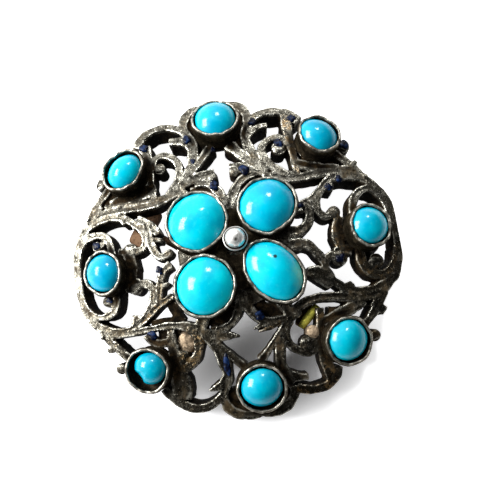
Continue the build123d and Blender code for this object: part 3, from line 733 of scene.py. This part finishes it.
# Pits in the ball, in millimetres from its middle
Pit = namedtuple("Pit", "x y size depth")
pits = [Pit(0.04, -0.40, 0.36, 0.75), Pit(0.34, 0.08, 0.24, 0.5), Pit(-0.40, 0.08, 0.24, 0.5)]


def makeWeb():
    # Round sheet with a hole: its top is level and hammered, its underside follows the dome.
    _, cosine, sine = ring(96)
    Turn = namedtuple("Turn", "share isTop below")   # below the web's top
    profile = [Turn(0.18, 1, 0), Turn(0.5, 1, 0), Turn(0.8, 1, 0), Turn(0.96, 1, 0.03 * mm),
               Turn(1, 1, 0.15 * mm), Turn(1, 0, 0), Turn(0.8, 0, 0), Turn(0.5, 0, 0), Turn(0.18, 0, 0),
               Turn(0.18, 1, 0)]
    share, isTop, below = (np.array(column)[:, None] for column in zip(*profile))
    plan = (share[..., None] * cluster["webRadius"]) * np.stack([cosine, sine], -1)[None]
    under = plateTop(fromAxis(plan)) + cluster["gap"]
    hammered = unevenness(plan, 1.5 * mm, cluster["webSeed"]) * cluster["webUnevenness"]
    top = np.maximum(cluster["webTop"] + hammered, under + 0.1 * mm)
    height = np.where(isTop == 1, top - below, under)
    return grid(np.concatenate([plan, height[..., None]], -1))


def makeStud():
    # Rivet: a profile of radius and height turned about an upright axis, its head a little aside.
    _, cosine, sine = ring(64)
    collar, ball, head = stud["collarRadius"], stud["ballRadius"], stud["headRadius"]
    foot, top = stud["collarFoot"], stud["collarFoot"] + stud["collarHeight"]
    end = float(plateUnderside(math.hypot(stud["x"], stud["y"]) + head)) - 0.05 * mm
    bottom = end - stud["headHeight"]
    profile = np.array([
        (0, bottom), (head * 0.8, bottom), (head, end - stud["headHeight"] * 0.4), (head * 0.97, end),
        (stud["radius"], end), (stud["radius"], foot), (collar * 0.85, foot),
        (collar * 0.98, foot + 0.12 * mm), (collar, top - 0.2 * mm), (collar * 0.985, top - 0.07 * mm),
        (collar * 0.94, top), (collar * 0.86, top - 0.02 * mm), (ball * 0.98, top - 0.14 * mm),
        *((ball * math.cos(a), top + ball * math.sin(a)) for a in np.linspace(0.10, math.pi / 2, 22))])
    outline = 1 + stud["unevenness"] * unevenness(np.stack([cosine, sine], -1), 1.2, stud["seed"])
    radius = profile[:, 0, None] * outline
    height = profile[:, 1, None] + 0 * radius
    aside = np.where(height >= foot - 1e-6, stud["headOff"], 0)
    return grid(np.stack([stud["x"] + radius * cosine, stud["y"] + radius * sine + aside, height], -1))


def studGrime(points):
    # Grime in the groove round the ball and in small pits on its top, each fading as a bell curve.
    x, y = points[:, 0] - stud["x"], points[:, 1] - stud["y"] - stud["headOff"]
    level = stud["collarFoot"] + stud["collarHeight"]
    off = np.hypot(np.hypot(x, y) - stud["ballRadius"], (points[:, 2] - level) / 1.6)
    depth = mm * np.exp(-(off / stud["grooveWidth"]) ** 2)
    for pit in pits:
        off = np.hypot(x / mm - pit.x, y / mm - pit.y) / pit.size
        depth += pit.depth * mm * np.exp(-off**2) * (points[:, 2] > level)
    return depth


# Enamel drops: places and sizes as shares, stretched along one direction where the drop is long
Drop = namedtuple("Drop", "x y size stretch", defaults=(1,))
drops = [
    Drop(-.468, .768, 1.00), Drop(-.192, .772, 0.90), Drop(-.171, .612, 0.55), Drop(-.062, .425, 1.05),
    Drop(.134, .500, 1.20), Drop(.232, .824, 0.90), Drop(.482, .820, 0.95), Drop(.370, .652, 1.05),
    Drop(.702, .366, 0.85), Drop(.630, .320, 0.85), Drop(-.838, .186, 0.85), Drop(-.466, -.044, 0.80),
    Drop(-.563, -.422, 0.95), Drop(.086, -.412, 0.95), Drop(.622, -.140, 1.00), Drop(-.151, -.676, 0.66, 4),
    Drop(.776, .592, 1.25), Drop(.432, .218, 0.75), Drop(-.800, -.166, 0.65), Drop(-.036, .668, 0.55),
]
enamel = dict(radius=0.6 * mm, height=0.304 * mm, unevenness=0.28)


def makeDrop(drop, seed):
    # Low irregular button that sits on the dome.
    _, cosine, sine = ring(28)
    point, normal = onDome(np.array([drop.x, drop.y]) * plate["radius"])
    sideways = unit(np.cross(normal, (0, 1, 0)))
    other = np.cross(normal, sideways)
    profile = np.array([(0, -0.2), (0.8, -0.2), (0.95, 0), (1, 0.2), (0.96, 0.45), (0.82, 0.75), (0.6, 0.93),
                        (0.3, 1), (0, 1.02)])
    outline = 1 + enamel["unevenness"] * unevenness(np.stack([cosine, sine], -1), 1.6, seed)
    reach = profile[:, :1] * enamel["radius"] * drop.size * outline
    height = profile[:, 1:] * enamel["height"] * drop.size + 0 * reach
    points = point + (reach * cosine)[..., None] * sideways
    points = points + (reach * drop.stretch * sine)[..., None] * other
    return grid(points + height[..., None] * normal)


clasp = dict(pinRadius=0.45 * mm, pinHeight=1.0 * mm, hinge=(-10.6 * mm, 5.5 * mm),
             catch=(7.2 * mm, -8.6 * mm), hingeLength=5.2 * mm, hingeWidth=2.2 * mm, barrelRadius=0.75 * mm,
             catchLength=3.0 * mm, catchWidth=1.4 * mm, catchPlate=0.5 * mm, hookRadius=0.9 * mm)
strip = dict(start=(8.8 * mm, -7.9 * mm, 3.6 * mm), end=(6.4 * mm, -10.2 * mm, 3.3 * mm),
             radii=(0.44 * mm, 0.56 * mm, 0.56 * mm, 0.40 * mm))
# Old solder: place as shares of the radius, and how far each patch is sunk into the dome
Patch = namedtuple("Patch", "x y radius rise steps sink unevenSize unevenness seed")
patches = [Patch(-.388, -.500, 1.5 * mm, 0.45 * mm, 48, 0.70 * mm, 1.0 * mm, 0.14 * mm, 61),
           Patch(.392, -.556, 0.85 * mm, 0.16 * mm, 40, 0.05 * mm, 0.8 * mm, 0.10 * mm, 62)]


def roundBar(start, end, radii, steps=20):
    # Round bar from start to end, with a radius at each of its evenly spaced sections.
    start, end = np.array(start), np.array(end)
    way = unit(end - start)
    sideways = unit(np.cross(way, (0, 0, 1) if abs(way[2]) < 0.9 else (1, 0, 0)))
    _, cosine, sine = ring(steps)
    circle = cosine[:, None] * sideways + sine[:, None] * np.cross(way, sideways)
    along = np.linspace(0, 1, len(radii))[:, None, None]
    return capped(start + along * (end - start) + np.array(radii)[:, None, None] * circle)


def block(centre, way, length, width, low):
    # Block with rounded corners that reaches up to the plate's underside.
    _, cosine, sine = ring(48)
    cross = np.array([-way[1], way[0]])
    circle = np.stack([cosine, sine], -1)
    square = np.abs(circle) ** 0.35 * np.sign(circle)
    rows = []
    for share, level in ((0, 0), (0.9, 0), (1, 0.06), (1, 0.94), (0.97, 1), (0, 1)):
        plan = centre + square[:, :1] * share * width / 2 * way + square[:, 1:] * share * length / 2 * cross
        top = plateUnderside(fromAxis(plan)) - 0.05 * mm
        rows.append(np.concatenate([plan, (low + (np.maximum(top, low) - low) * level)[:, None]], 1))
    return grid(np.array(rows))


def makeClasp():
    # The pin, its hinge block with a barrel, and its catch block with a round plate.
    hinge, catch = np.array(clasp["hinge"]), np.array(clasp["catch"])
    way = unit(catch - hinge)
    halfWidth = np.array([-way[1], way[0]]) * clasp["hingeWidth"] / 2
    level, pin = clasp["pinHeight"], clasp["pinRadius"]

    def lifted(plan):
        return (*plan, level)

    return [
        roundBar(lifted(hinge), lifted(catch), [pin, pin, pin, pin, pin * 0.95, pin * 0.9, pin * 0.85]),
        block(hinge, way, clasp["hingeLength"], clasp["hingeWidth"], level),
        block(catch, way, clasp["catchLength"], clasp["catchWidth"], level + pin * 0.5),
        roundBar(lifted(hinge - halfWidth), lifted(hinge + halfWidth),
                 [clasp["barrelRadius"] * share for share in (0.92, 1, 1, 1, 0.92)], 28),
        roundBar(lifted(catch - way * clasp["catchPlate"]), lifted(catch),
                 [clasp["hookRadius"] * share for share in (0.94, 1, 1, 0.94)], 28),
    ]


def makePatch(patch):
    # Low boss with a rough surface.
    place = np.array([patch.x, patch.y]) * plate["radius"]
    points, quads = boss(place, patch.radius, patch.rise, patch.steps, patch.sink)
    rough = unevenness(points, patch.unevenSize, patch.seed) * patch.unevenness
    return points + rough[:, None], quads


# Materials

def newGroup(name, inputs, outputs):
    # Node group with named sockets: inputs are (name, kind, value), outputs are (name, kind).
    group = bpy.data.node_groups.new(name, "ShaderNodeTree")
    for label, kind, value in inputs:
        socket = group.interface.new_socket(label, in_out="INPUT", socket_type="NodeSocket" + kind)
        if value is not None:
            socket.default_value = value
    for label, kind in outputs:
        group.interface.new_socket(label, in_out="OUTPUT", socket_type="NodeSocket" + kind)
    return group, group.nodes.new("NodeGroupInput"), group.nodes.new("NodeGroupOutput")


def feed(tree, node, **inputs):
    # Sets a node's inputs, named or numbered: each is a value or another node's output socket.
    for label, value in inputs.items():
        socket = node.inputs[int(label[1:]) if label[0] == "_" else label.replace("_", " ")]
        if isinstance(value, bpy.types.NodeSocket):
            tree.links.new(value, socket)
        else:
            socket.default_value = value


def addNode(tree, kind, settings=None, **inputs):
    node = tree.nodes.new("ShaderNode" + kind)
    for key, value in (settings or {}).items():
        setattr(node, key, value)
    feed(tree, node, **inputs)
    return node


def mathNode(tree, operation, a, b=0.0):
    return addNode(tree, "Math", dict(operation=operation), _0=a, _1=b).outputs[0]


def vectorNode(tree, operation, a, b=(0, 0, 0), output="Value"):
    return addNode(tree, "VectorMath", dict(operation=operation), _0=a, _1=b).outputs[output]


def remap(tree, value, low, high, outLow=0.0, outHigh=1.0):
    return addNode(tree, "MapRange", dict(interpolation_type="SMOOTHSTEP"), Value=value, From_Min=low,
                   From_Max=high, To_Min=outLow, To_Max=outHigh).outputs[0]


def mixColor(tree, factor, a, b, blend="MIX"):
    return addNode(tree, "Mix", dict(data_type="RGBA", blend_type=blend), _0=factor, _6=a, _7=b).outputs[2]


def noise(tree, place, size, detail=4.0, roughness=0.55):
    # Noise with features of about the given size in metres.
    node = addNode(tree, "TexNoise", Vector=place, Scale=1 / size, Detail=detail, Roughness=roughness)
    return node.outputs[0]


def objectPlace(tree):
    return addNode(tree, "TexCoord").outputs["Object"]


def attributeOf(tree, name, output="Fac"):
    return addNode(tree, "Attribute", dict(attribute_name=name)).outputs[output]


def makeAgedSilverGroup():
    # Old silver: metal on its tops and rubbed ridges, a dull brown to black crust in creases and on walls,
    # and tops and ridges painted lighter toward one side, partly wear and partly painted light.
    group, start, out = newGroup("agedSilver", [
        ("Place", "Vector", None), ("Edge", "Float", 0.0), ("Deep", "Float", 0.0), ("Gilt", "Float", 0.0),
        ("Polish", "Float", 0.5), ("Tarnish", "Float", 1.0),
        ("Bright", "Color", (0.77, 0.75, 0.65, 1)), ("Grey", "Color", (0.040, 0.035, 0.025, 1)),
        ("Black", "Color", (0.0022, 0.0017, 0.0012, 1)), ("Brown", "Color", (0.058, 0.037, 0.017, 1)),
        ("Wall Start", "Float", 0.12), ("Wall End", "Float", 0.5),
        ("Unbroken", "Float", 0.12), ("Least Wear", "Float", 0.5)],
        [("Color", "Color"), ("Metallic", "Float"), ("Roughness", "Float"), ("Height", "Float")])
    given = start.outputs
    place, bright, polish, tarnish = (given[label] for label in ("Place", "Bright", "Polish", "Tarnish"))
    wornAndLitSide, darkEnd, brightEnd = (-0.25, 0.97, 0), -13 * mm, 11 * mm
    honeyColor, giltColor = (0.17, 0.12, 0.055, 1), (0.21, 0.125, 0.042, 1)

    def times(a, b):
        return mathNode(group, "MULTIPLY", a, b)

    def plus(a, b):
        return mathNode(group, "ADD", a, b)

    def largest(a, b):
        return mathNode(group, "MAXIMUM", a, b)

    def without(value):
        return mathNode(group, "SUBTRACT", 1.0, value)

    def weighted(*terms):
        # Sum of (socket, weight) pairs.
        total = times(*terms[-1])
        for term in terms[-2::-1]:
            total = plus(times(*term), total)
        return total

    def above(value, low, high, outLow=0.0, outHigh=1.0):
        return remap(group, value, low, high, outLow, outHigh)

    def mix(factor, a, b):
        return mixColor(group, factor, a, b)

    # Painted light and shade, partly wear too: tops rubbed brighter and ridges kept brighter toward +Y, a
    # little to -X, and darker toward the opposite side.
    toward = vectorNode(group, "DOT_PRODUCT", place, wornAndLitSide)
    wornAndLit = above(toward, darkEnd, brightEnd)
    blotch = noise(group, place, 2.2 * mm)
    patch = noise(group, place, 0.75 * mm)
    speck = noise(group, place, 0.30 * mm, 3, 0.65)
    grain = noise(group, place, 0.12 * mm, 4, 0.7)
    lines = addNode(group, "Mapping", Vector=place, Rotation=(0.3, 0.2, 0.7), Scale=(1, 0.18, 0.5))
    streak = noise(group, lines.outputs[0], 0.16 * mm, 3, 0.6)
    edge = plus(given["Edge"], times(plus(speck, -0.5), 0.30))
    ridge = times(above(edge, 0.08, 0.34), above(patch, 0.42, 0.56, given["Unbroken"], 1.0))
    ridge = times(ridge, above(toward, darkEnd, brightEnd, given["Least Wear"], 1.0))
    crease = above(edge, 0.0, -0.18)
    wall = plus(given["Deep"], times(plus(patch, -0.5), 0.35))
    sunk = above(wall, given["Wall Start"], given["Wall End"])
    stain = times(above(weighted((blotch, 0.5), (patch, 0.5)), 0.50, 0.64), tarnish)
    rubbedAndLit = above(weighted((speck, 0.2), (streak, 0.3), (patch, 0.5)), 0.46, 0.68)
    rubbedAndLit = times(rubbedAndLit, plus(0.16, times(wornAndLit, 0.26)))
    rubbedAndLit = plus(rubbedAndLit, times(wornAndLit, 0.075))
    top = mix(rubbedAndLit, given["Grey"], bright)
    honey = times(above(weighted((blotch, 0.5), (speck, 0.5)), 0.52, 0.62), 0.35)
    top = mix(honey, top, honeyColor)
    gilt = times(given["Gilt"], above(weighted((patch, 0.6), (speck, 0.4)), 0.45, 0.60))
    top = mix(times(gilt, 0.75), top, giltColor)
    sparkle = times(above(weighted((speck, 0.6), (grain, 0.4)), 0.57, 0.66), 0.6)
    top = mix(sparkle, top, bright)
    top = mix(tarnish, bright, top)
    crust = above(weighted((blotch, 0.35), (patch, 0.3), (grain, 0.35)), 0.46, 0.70)
    crust = mix(crust, given["Black"], given["Brown"])
    pits = times(above(weighted((speck, 0.4), (patch, 0.6)), 0.49, 0.36), tarnish)
    cover = largest(largest(sunk, crease), largest(times(pits, 0.85), times(stain, 0.8)))
    polishedAndLit = times(ridge, polish)
    cover = times(cover, without(polishedAndLit))
    feed(group, out, Color=mix(cover, mix(polishedAndLit, top, bright), crust), Metallic=without(cover),
         Roughness=plus(plus(0.13, times(speck, 0.22)), times(cover, 0.35)),
         Height=weighted((grain, 0.25), (speck, 0.8), (streak, 0.5)))
    return group


def newMaterial(name):
    material = bpy.data.materials.new(name)
    material.use_nodes = True
    tree = material.node_tree
    tree.nodes.clear()
    shader = addNode(tree, "BsdfPrincipled")
    addNode(tree, "OutputMaterial", Surface=shader.outputs[0])
    return material, tree, shader


def addBump(tree, height, distance):
    return addNode(tree, "Bump", Strength=1.0, Distance=distance, Height=height).outputs[0]


agedSilver = makeAgedSilverGroup()
silverGloss = dict(Specular_IOR_Level=0.06, Specular_Tint=(0.30, 0.26, 0.20, 1))
# Metals: height of the bump, a roughness and a share of metal where those are constants, and what the
# group's sockets are given. Metals without grime have their walls start below any depth on them.
noGrime = dict(Wall_Start=90, Wall_End=99)
metals = dict(
    silverCast=dict(bump=0.07 * mm, Polish=0.85),
    silverCups=dict(bump=0.04 * mm, metal=0.65, Polish=0.7, Unbroken=0.3, Least_Wear=1.0, Wall_Start=0.14,
                    Wall_End=0.42, Bright=(0.53, 0.50, 0.43, 1), Brown=(0.085, 0.066, 0.040, 1),
                    Black=(0.010, 0.008, 0.005, 1)),
    silverBright=dict(bump=0.01 * mm, metal=0.6, Polish=0.25, Tarnish=0.1, Wall_Start=0.2, Wall_End=0.8,
                      Bright=(0.80, 0.79, 0.76, 1)),
    pinMetal=dict(bump=0.05 * mm, dull=0.6, metal=0.3, Polish=0.3, Tarnish=0.7,
                  Bright=(0.21, 0.125, 0.075, 1), Grey=(0.10, 0.058, 0.034, 1), **noGrime),
    brass=dict(bump=0.05 * mm, dull=0.5, metal=0.4, Polish=0.3, Tarnish=0.5, Bright=(0.80, 0.76, 0.13, 1),
               Grey=(0.34, 0.31, 0.05, 1), **noGrime),
    solder=dict(bump=0.10 * mm, dull=0.45, metal=0.5, Polish=0.4, Tarnish=0.8, Bright=(0.72, 0.58, 0.42, 1),
                Grey=(0.20, 0.14, 0.085, 1), **noGrime),
)


def makeSilver(name, bump, dull=None, metal=None, **sockets):
    material, tree, shader = newMaterial(name)
    for label in ("Edge", "Deep", "Gilt"):
        sockets[label] = attributeOf(tree, label.lower())
    aged = addNode(tree, "Group", dict(node_tree=agedSilver), Place=objectPlace(tree), **sockets).outputs
    feed(tree, shader, Base_Color=aged["Color"], Metallic=aged["Metallic"] if metal is None else metal,
         Roughness=aged["Roughness"] if dull is None else dull, Normal=addBump(tree, aged["Height"], bump),
         **silverGloss)
    return material


turquoiseLook = dict(color=(0.0, 0.41, 0.53, 1), deep=(0.0, 0.31, 0.45, 1), pale=(0.04, 0.54, 0.56, 1),
                     threads=0.2, gloss=0.32, bump=0.006 * mm)
matrixLook = dict(greenPlace=(9.1 * mm, -4.6 * mm, 0), greenReach=3.4 * mm, green=(0.13, 0.50, 0.34, 1),
                  brown=(0.10, 0.06, 0.04, 1), speckPlace=(4.6 * mm, -2.25 * mm, 0), speckSize=0.30 * mm,
                  speck=(0.004, 0.03, 0.035, 1))


def makeTurquoise(name, look, matrix=None):
    # Polished turquoise: clouds of two blues, paler threads, and a soft gloss. Each stone's attribute tone
    # shifts the blues. A matrix gives a greenish side with brown veins and one dark speck.
    material, tree, shader = newMaterial(name)
    place = objectPlace(tree)
    cloud = noise(tree, place, 2.4 * mm, 3)
    fine = noise(tree, place, 0.5 * mm, 5)
    base = mixColor(tree, remap(tree, cloud, 0.36, 0.66), look["color"], look["deep"])
    threads = mathNode(tree, "MULTIPLY", remap(tree, fine, 0.52, 0.72), look["threads"])
    base = mixColor(tree, threads, base, look["pale"])
    base = mixColor(tree, 1.0, base, attributeOf(tree, "tone", "Color"), "MULTIPLY")
    if matrix:
        plan = vectorNode(tree, "MULTIPLY", place, (1, 1, 0), "Vector")
        away = vectorNode(tree, "DISTANCE", plan, matrix["greenPlace"])
        ragged = mathNode(tree, "MULTIPLY", mathNode(tree, "SUBTRACT", fine, 0.5), 1.5 * mm)
        away = mathNode(tree, "ADD", away, ragged)
        green = remap(tree, away, matrix["greenReach"], matrix["greenReach"] * 0.45, 0.0, 0.75)
        base = mixColor(tree, green, base, matrix["green"])
        veins = mathNode(tree, "ABSOLUTE", mathNode(tree, "SUBTRACT", noise(tree, place, 1.3 * mm, 2), 0.5))
        veins = remap(tree, veins, 0.018, 0.004)
        veins = mathNode(tree, "MULTIPLY", veins, remap(tree, green, 0.45, 0.75, 0.0, 0.5))
        base = mixColor(tree, veins, base, matrix["brown"])
        away = vectorNode(tree, "DISTANCE", plan, matrix["speckPlace"])
        speck = remap(tree, away, matrix["speckSize"], matrix["speckSize"] * 0.5)
        base = mixColor(tree, speck, base, matrix["speck"])
    feed(tree, shader, Base_Color=base, Roughness=remap(tree, fine, 0.3, 0.8, 0.11, 0.19),
         Specular_IOR_Level=look["gloss"], Normal=addBump(tree, fine, look["bump"]))
    return material


enamelLook = dict(black=(0.0012, 0.002, 0.008, 1), blue=(0.004, 0.018, 0.07, 1), gloss=0.14, bump=0.08 * mm)


def makeEnamel(look):
    # Remains of dark blue enamel: nearly black, bluer in patches, pitted and glossy.
    material, tree, shader = newMaterial("enamelBlue")
    cloud = noise(tree, objectPlace(tree), 0.5 * mm, 3)
    feed(tree, shader, Base_Color=mixColor(tree, remap(tree, cloud, 0.45, 0.7), look["black"], look["blue"]),
         Roughness=remap(tree, cloud, 0.3, 0.8, 0.22, 0.5), Specular_IOR_Level=look["gloss"],
         Normal=addBump(tree, cloud, look["bump"]))
    return material


metalOf = {name: makeSilver(name, **settings) for name, settings in metals.items()}
turquoise = makeTurquoise("turquoise", turquoiseLook)
turquoiseMatrix = makeTurquoise("turquoiseMatrix", turquoiseLook, matrixLook)
enamelBlue = makeEnamel(enamelLook)
print("materials made")


# Pieces

def addPlate():
    # The openwork plate: all scrolls and the cups' seats fused, then carved.
    shells, paths = [], []
    for number, scroll in enumerate(scrolls):
        for quarter in scroll.where.split():
            seed = plate["scrollSeed"] + 40 * number + 7 * len(shells)
            path = scrollPath(scroll, quarter, seed)
            shells += sweepScroll(scroll, path, seed)
            if scroll.groove != web:
                paths.append(path)
    for seat in seats:
        x, y, radius = (share * plate["radius"] for share in seat)
        for mirrorX in (1, -1) if seat.x > 0.01 else (1,):
            for mirrorY in (1, -1) if seat.y > 0.01 else (1,):
                shells.append(seatDisc(x * mirrorX, y * mirrorY, radius))
    mesh = fuseShells("openworkBase", shells)
    points, normals, _ = meshArrays(mesh)
    shift, middle, border, lip, gilt = carve(points, normals, paths)
    mesh.vertices.foreach_set("co", (points + shift).astype(np.float32).ravel())
    mesh.update()
    addWear(mesh, plate["lipWear"] * lip)
    setAttribute(mesh, "gilt", gilt)
    carvedGrime = plate["grooveGrime"] * middle + plate["borderGrime"] * border
    # Depth takes grime in the carved grooves, and grime with painted shade round the ring cups' feet.
    addDepth(mesh, lambda p: plateTop(fromAxis(p)) - p[:, 2] + footGrimeAndShade(p) + carvedGrime)
    addPiece("openworkPlate", mesh, metalOf["silverCast"], "openwork_base")


def addWorn(name, shells, material, node, depthOf=None):
    # A metal piece with its mask of wear and, where it gathers grime, its depth.
    mesh = buildMesh(name, shells)
    addWear(mesh)
    if depthOf:
        addDepth(mesh, depthOf)
    addPiece(name, mesh, metalOf[material], node)


def cupShells(settings, cup, seed):
    return [makeCup(setting, cup, seed + 9 * n) for n, setting in enumerate(settings)]


def addStones(kind, settings, cup, seed, tones):
    # One stone for each cup, with its green and blue as shares of the common turquoise.
    for n, (setting, tone) in enumerate(zip(settings, tones), start=1):
        name = f"{kind}Stone{n}"
        mesh = buildMesh(name, [makeStone(setting, cup, seed + 5 * n)])
        addTone(mesh, *tone)
        material = turquoiseMatrix if name == "centreStone3" else turquoise
        addPiece(name, mesh, material, f"{kind}_stone_{n}")


addPlate()
print("openwork plate built")

addWorn("ringCups", cupShells(ringSettings, ringCup, 100), "silverCups", "openwork_base",
        lambda points: belowRim(points, ringSettings, ringCup))
addWorn("centreCluster", cupShells(clusterSettings, clusterCup, 200) + [makeWeb()], "silverCups",
        "centre_cluster", lambda points: belowRim(points, clusterSettings, clusterCup))
print("cups built")

addStones("ring", ringSettings, ringCup, 300,
          [(.92, .97), (.76, .84), (.88, .90), (.90, .87), (.80, .82), (.74, .77), (.80, .93), (1.00, 1.00)])
addStones("centre", clusterSettings, clusterCup, 400,
          [(1.10, 1.06), (.95, 1.02), (1.12, 1.12), (1.26, 1.16)])
print("stones built")

addWorn("centreStud", [makeStud()], "silverBright", "centre_stud", studGrime)
dropMesh = buildMesh("enamelDrops", [makeDrop(drop, 500 + n) for n, drop in enumerate(drops)])
addPiece("enamelDrops", dropMesh, enamelBlue, "enamel_drops")
addWorn("pinClasp", makeClasp(), "pinMetal", "pin_clasp")
addWorn("catchStrip", [roundBar(**strip)], "brass", "pin_clasp")
addWorn("solderLump", [makePatch(patch) for patch in patches], "solder", "openwork_base")
print("rivet, drops and clasp built")


# Stage: floor, light and camera

stage = dict(
    floorSize=1.2,
    floorDepth=0.02 * mm,
    floorColor=(0.90, 0.90, 0.91, 1),
    floorRoughness=0.7,
    floorGlow=1.0,
    # Painted shadow on the floor's glow as the camera sees it: its colour, middle and reach.
    shadeColor=(0.06, 0.06, 0.06, 1),
    shadeMiddle=(1.8 * mm, -13.2 * mm, 0),
    shadeReach=(16 * mm, 10.3 * mm, 1),
    bounce=(0.15, 0.15, 0.15, 1),      # glow of the floor as the brooch sees it
    brightSide=(1.5, 1.5, 1.5, 1),
    brightWay=(140.0, 5.0),
    darkSide=(0.03, 0.031, 0.033, 1),
    fadeStart=-0.2,
    fadeEnd=0.75,
    horizon=(0.62, 0.62, 0.62, 1),     # on the dark side, low over the floor
    horizonTop=0.28,
    hoodColor=(0.02, 0.02, 0.02, 1),   # dark disc overhead, tilted toward the camera
    hoodWay=(-88.0, 77.0),
    hoodEdge=38.0,
    hoodCore=14.0,
    backdrop=(0.95, 0.95, 0.96, 1),
)


def wayTo(azimuth, elevation):
    # Direction from an azimuth counterclockwise from +X and an elevation, both in degrees.
    azimuth, elevation = math.radians(azimuth), math.radians(elevation)
    level = math.cos(elevation)
    return Vector((math.cos(azimuth) * level, math.sin(azimuth) * level, math.sin(elevation)))


def addFloor():
    corners = np.array([[[-1, -1, 0], [-1, 1, 0]], [[1, -1, 0], [1, 1, 0]]], float) * stage["floorSize"] / 2
    mesh = buildMesh("floor", [grid(corners - np.array([0, 0, stage["floorDepth"]]), closed=False)])
    material, tree, shader = newMaterial("floorWhite")
    # Painted shadow: the glow that the camera sees is darker in an oval under the lower half of the brooch.
    shade = addNode(tree, "Mapping", dict(vector_type="TEXTURE"), Vector=objectPlace(tree),
                    Location=stage["shadeMiddle"], Scale=stage["shadeReach"]).outputs[0]
    clear = remap(tree, vectorNode(tree, "LENGTH", shade), 0.15, 1.25)
    glow = mixColor(tree, clear, stage["shadeColor"], (1, 1, 1, 1))
    seen = addNode(tree, "LightPath").outputs["Is Camera Ray"]
    feed(tree, shader, Base_Color=stage["floorColor"], Roughness=stage["floorRoughness"],
         Emission_Color=mixColor(tree, seen, stage["bounce"], glow), Emission_Strength=stage["floorGlow"])
    mesh.materials.append(material)
    floor = newObject("floor", mesh)


def addSky():
    # A bright and a dark side, a pale horizon on the dark side, a dark hood overhead, and a plain backdrop.
    world = bpy.data.worlds.new("studio")
    world.use_nodes = True
    sky = world.node_tree
    direction = addNode(sky, "TexCoord").outputs["Generated"]
    side = vectorNode(sky, "DOT_PRODUCT", direction, wayTo(*stage["brightWay"]))
    lit = remap(sky, side, stage["fadeStart"], stage["fadeEnd"])
    room = mixColor(sky, lit, stage["darkSide"], stage["brightSide"])
    height = addNode(sky, "SeparateXYZ", Vector=direction).outputs["Z"]
    low = mathNode(sky, "MULTIPLY", remap(sky, height, stage["horizonTop"], 0.0),
                   remap(sky, side, stage["fadeEnd"], stage["fadeStart"]))
    room = mixColor(sky, low, room, stage["horizon"])
    hood = vectorNode(sky, "DOT_PRODUCT", direction, wayTo(*stage["hoodWay"]))
    edge, core = (math.cos(math.radians(stage[key])) for key in ("hoodEdge", "hoodCore"))
    room = mixColor(sky, remap(sky, hood, edge, core), room, stage["hoodColor"])
    seen = addNode(sky, "LightPath").outputs["Is Camera Ray"]
    feed(sky, sky.nodes["Background"], Color=mixColor(sky, seen, room, stage["backdrop"]))
    bpy.context.scene.world = world


addFloor()
addSky()

# Lights: azimuth and elevation in degrees, distance, width and height in metres, watts
Lamp = namedtuple("Lamp", "name azimuth elevation distance width height power")
lamps = [
    Lamp("windowLight", 161, 38, 0.45, 0.29, 0.16, 4.1),
    Lamp("smallLight", 72, 43, 0.45, 0.08, 0.08, 0.72),
]
for lamp in lamps:
    light = bpy.data.lights.new(lamp.name, "AREA")
    light.shape = "RECTANGLE"
    light.size, light.size_y = lamp.width, lamp.height
    light.energy = lamp.power
    item = newObject(lamp.name, light)
    item.location = wayTo(lamp.azimuth, lamp.elevation) * lamp.distance
    item.rotation_euler = (-item.location).to_track_quat("-Z", "Y").to_euler()

# The camera stands near overhead, a little toward the lower edge of the picture.
cameraView = dict(way=(-79.2, 77.0), turn=8.7, distance=131.0 * mm, centreHeight=4.0 * mm, sensor=36.0,
                  focalShare=2.148, clipStart=0.01, aimRight=0.01369, aimUp=0.00289)
toCamera = wayTo(*cameraView["way"])
right = (-toCamera).cross(Vector((0, 1, 0))).normalized()
up = right.cross(-toCamera)
aim = (-toCamera + right * cameraView["aimRight"] + up * cameraView["aimUp"]).normalized()
right = aim.cross(up).normalized()
turnBack = Matrix.Rotation(-math.radians(cameraView["turn"]), 4, "Z")
pose = Matrix((right, right.cross(aim), -aim)).transposed().to_4x4()
pose.translation = toCamera * cameraView["distance"] + Vector((0, 0, cameraView["centreHeight"]))
camera = newObject("camera", bpy.data.cameras.new("camera"))
camera.data.sensor_width = cameraView["sensor"]
camera.data.lens = cameraView["sensor"] * cameraView["focalShare"]
camera.data.clip_start = cameraView["clipStart"]
camera.matrix_world = turnBack @ pose
bpy.context.scene.camera = camera
bpy.context.scene.view_settings.view_transform = "Standard"
print("stage set")
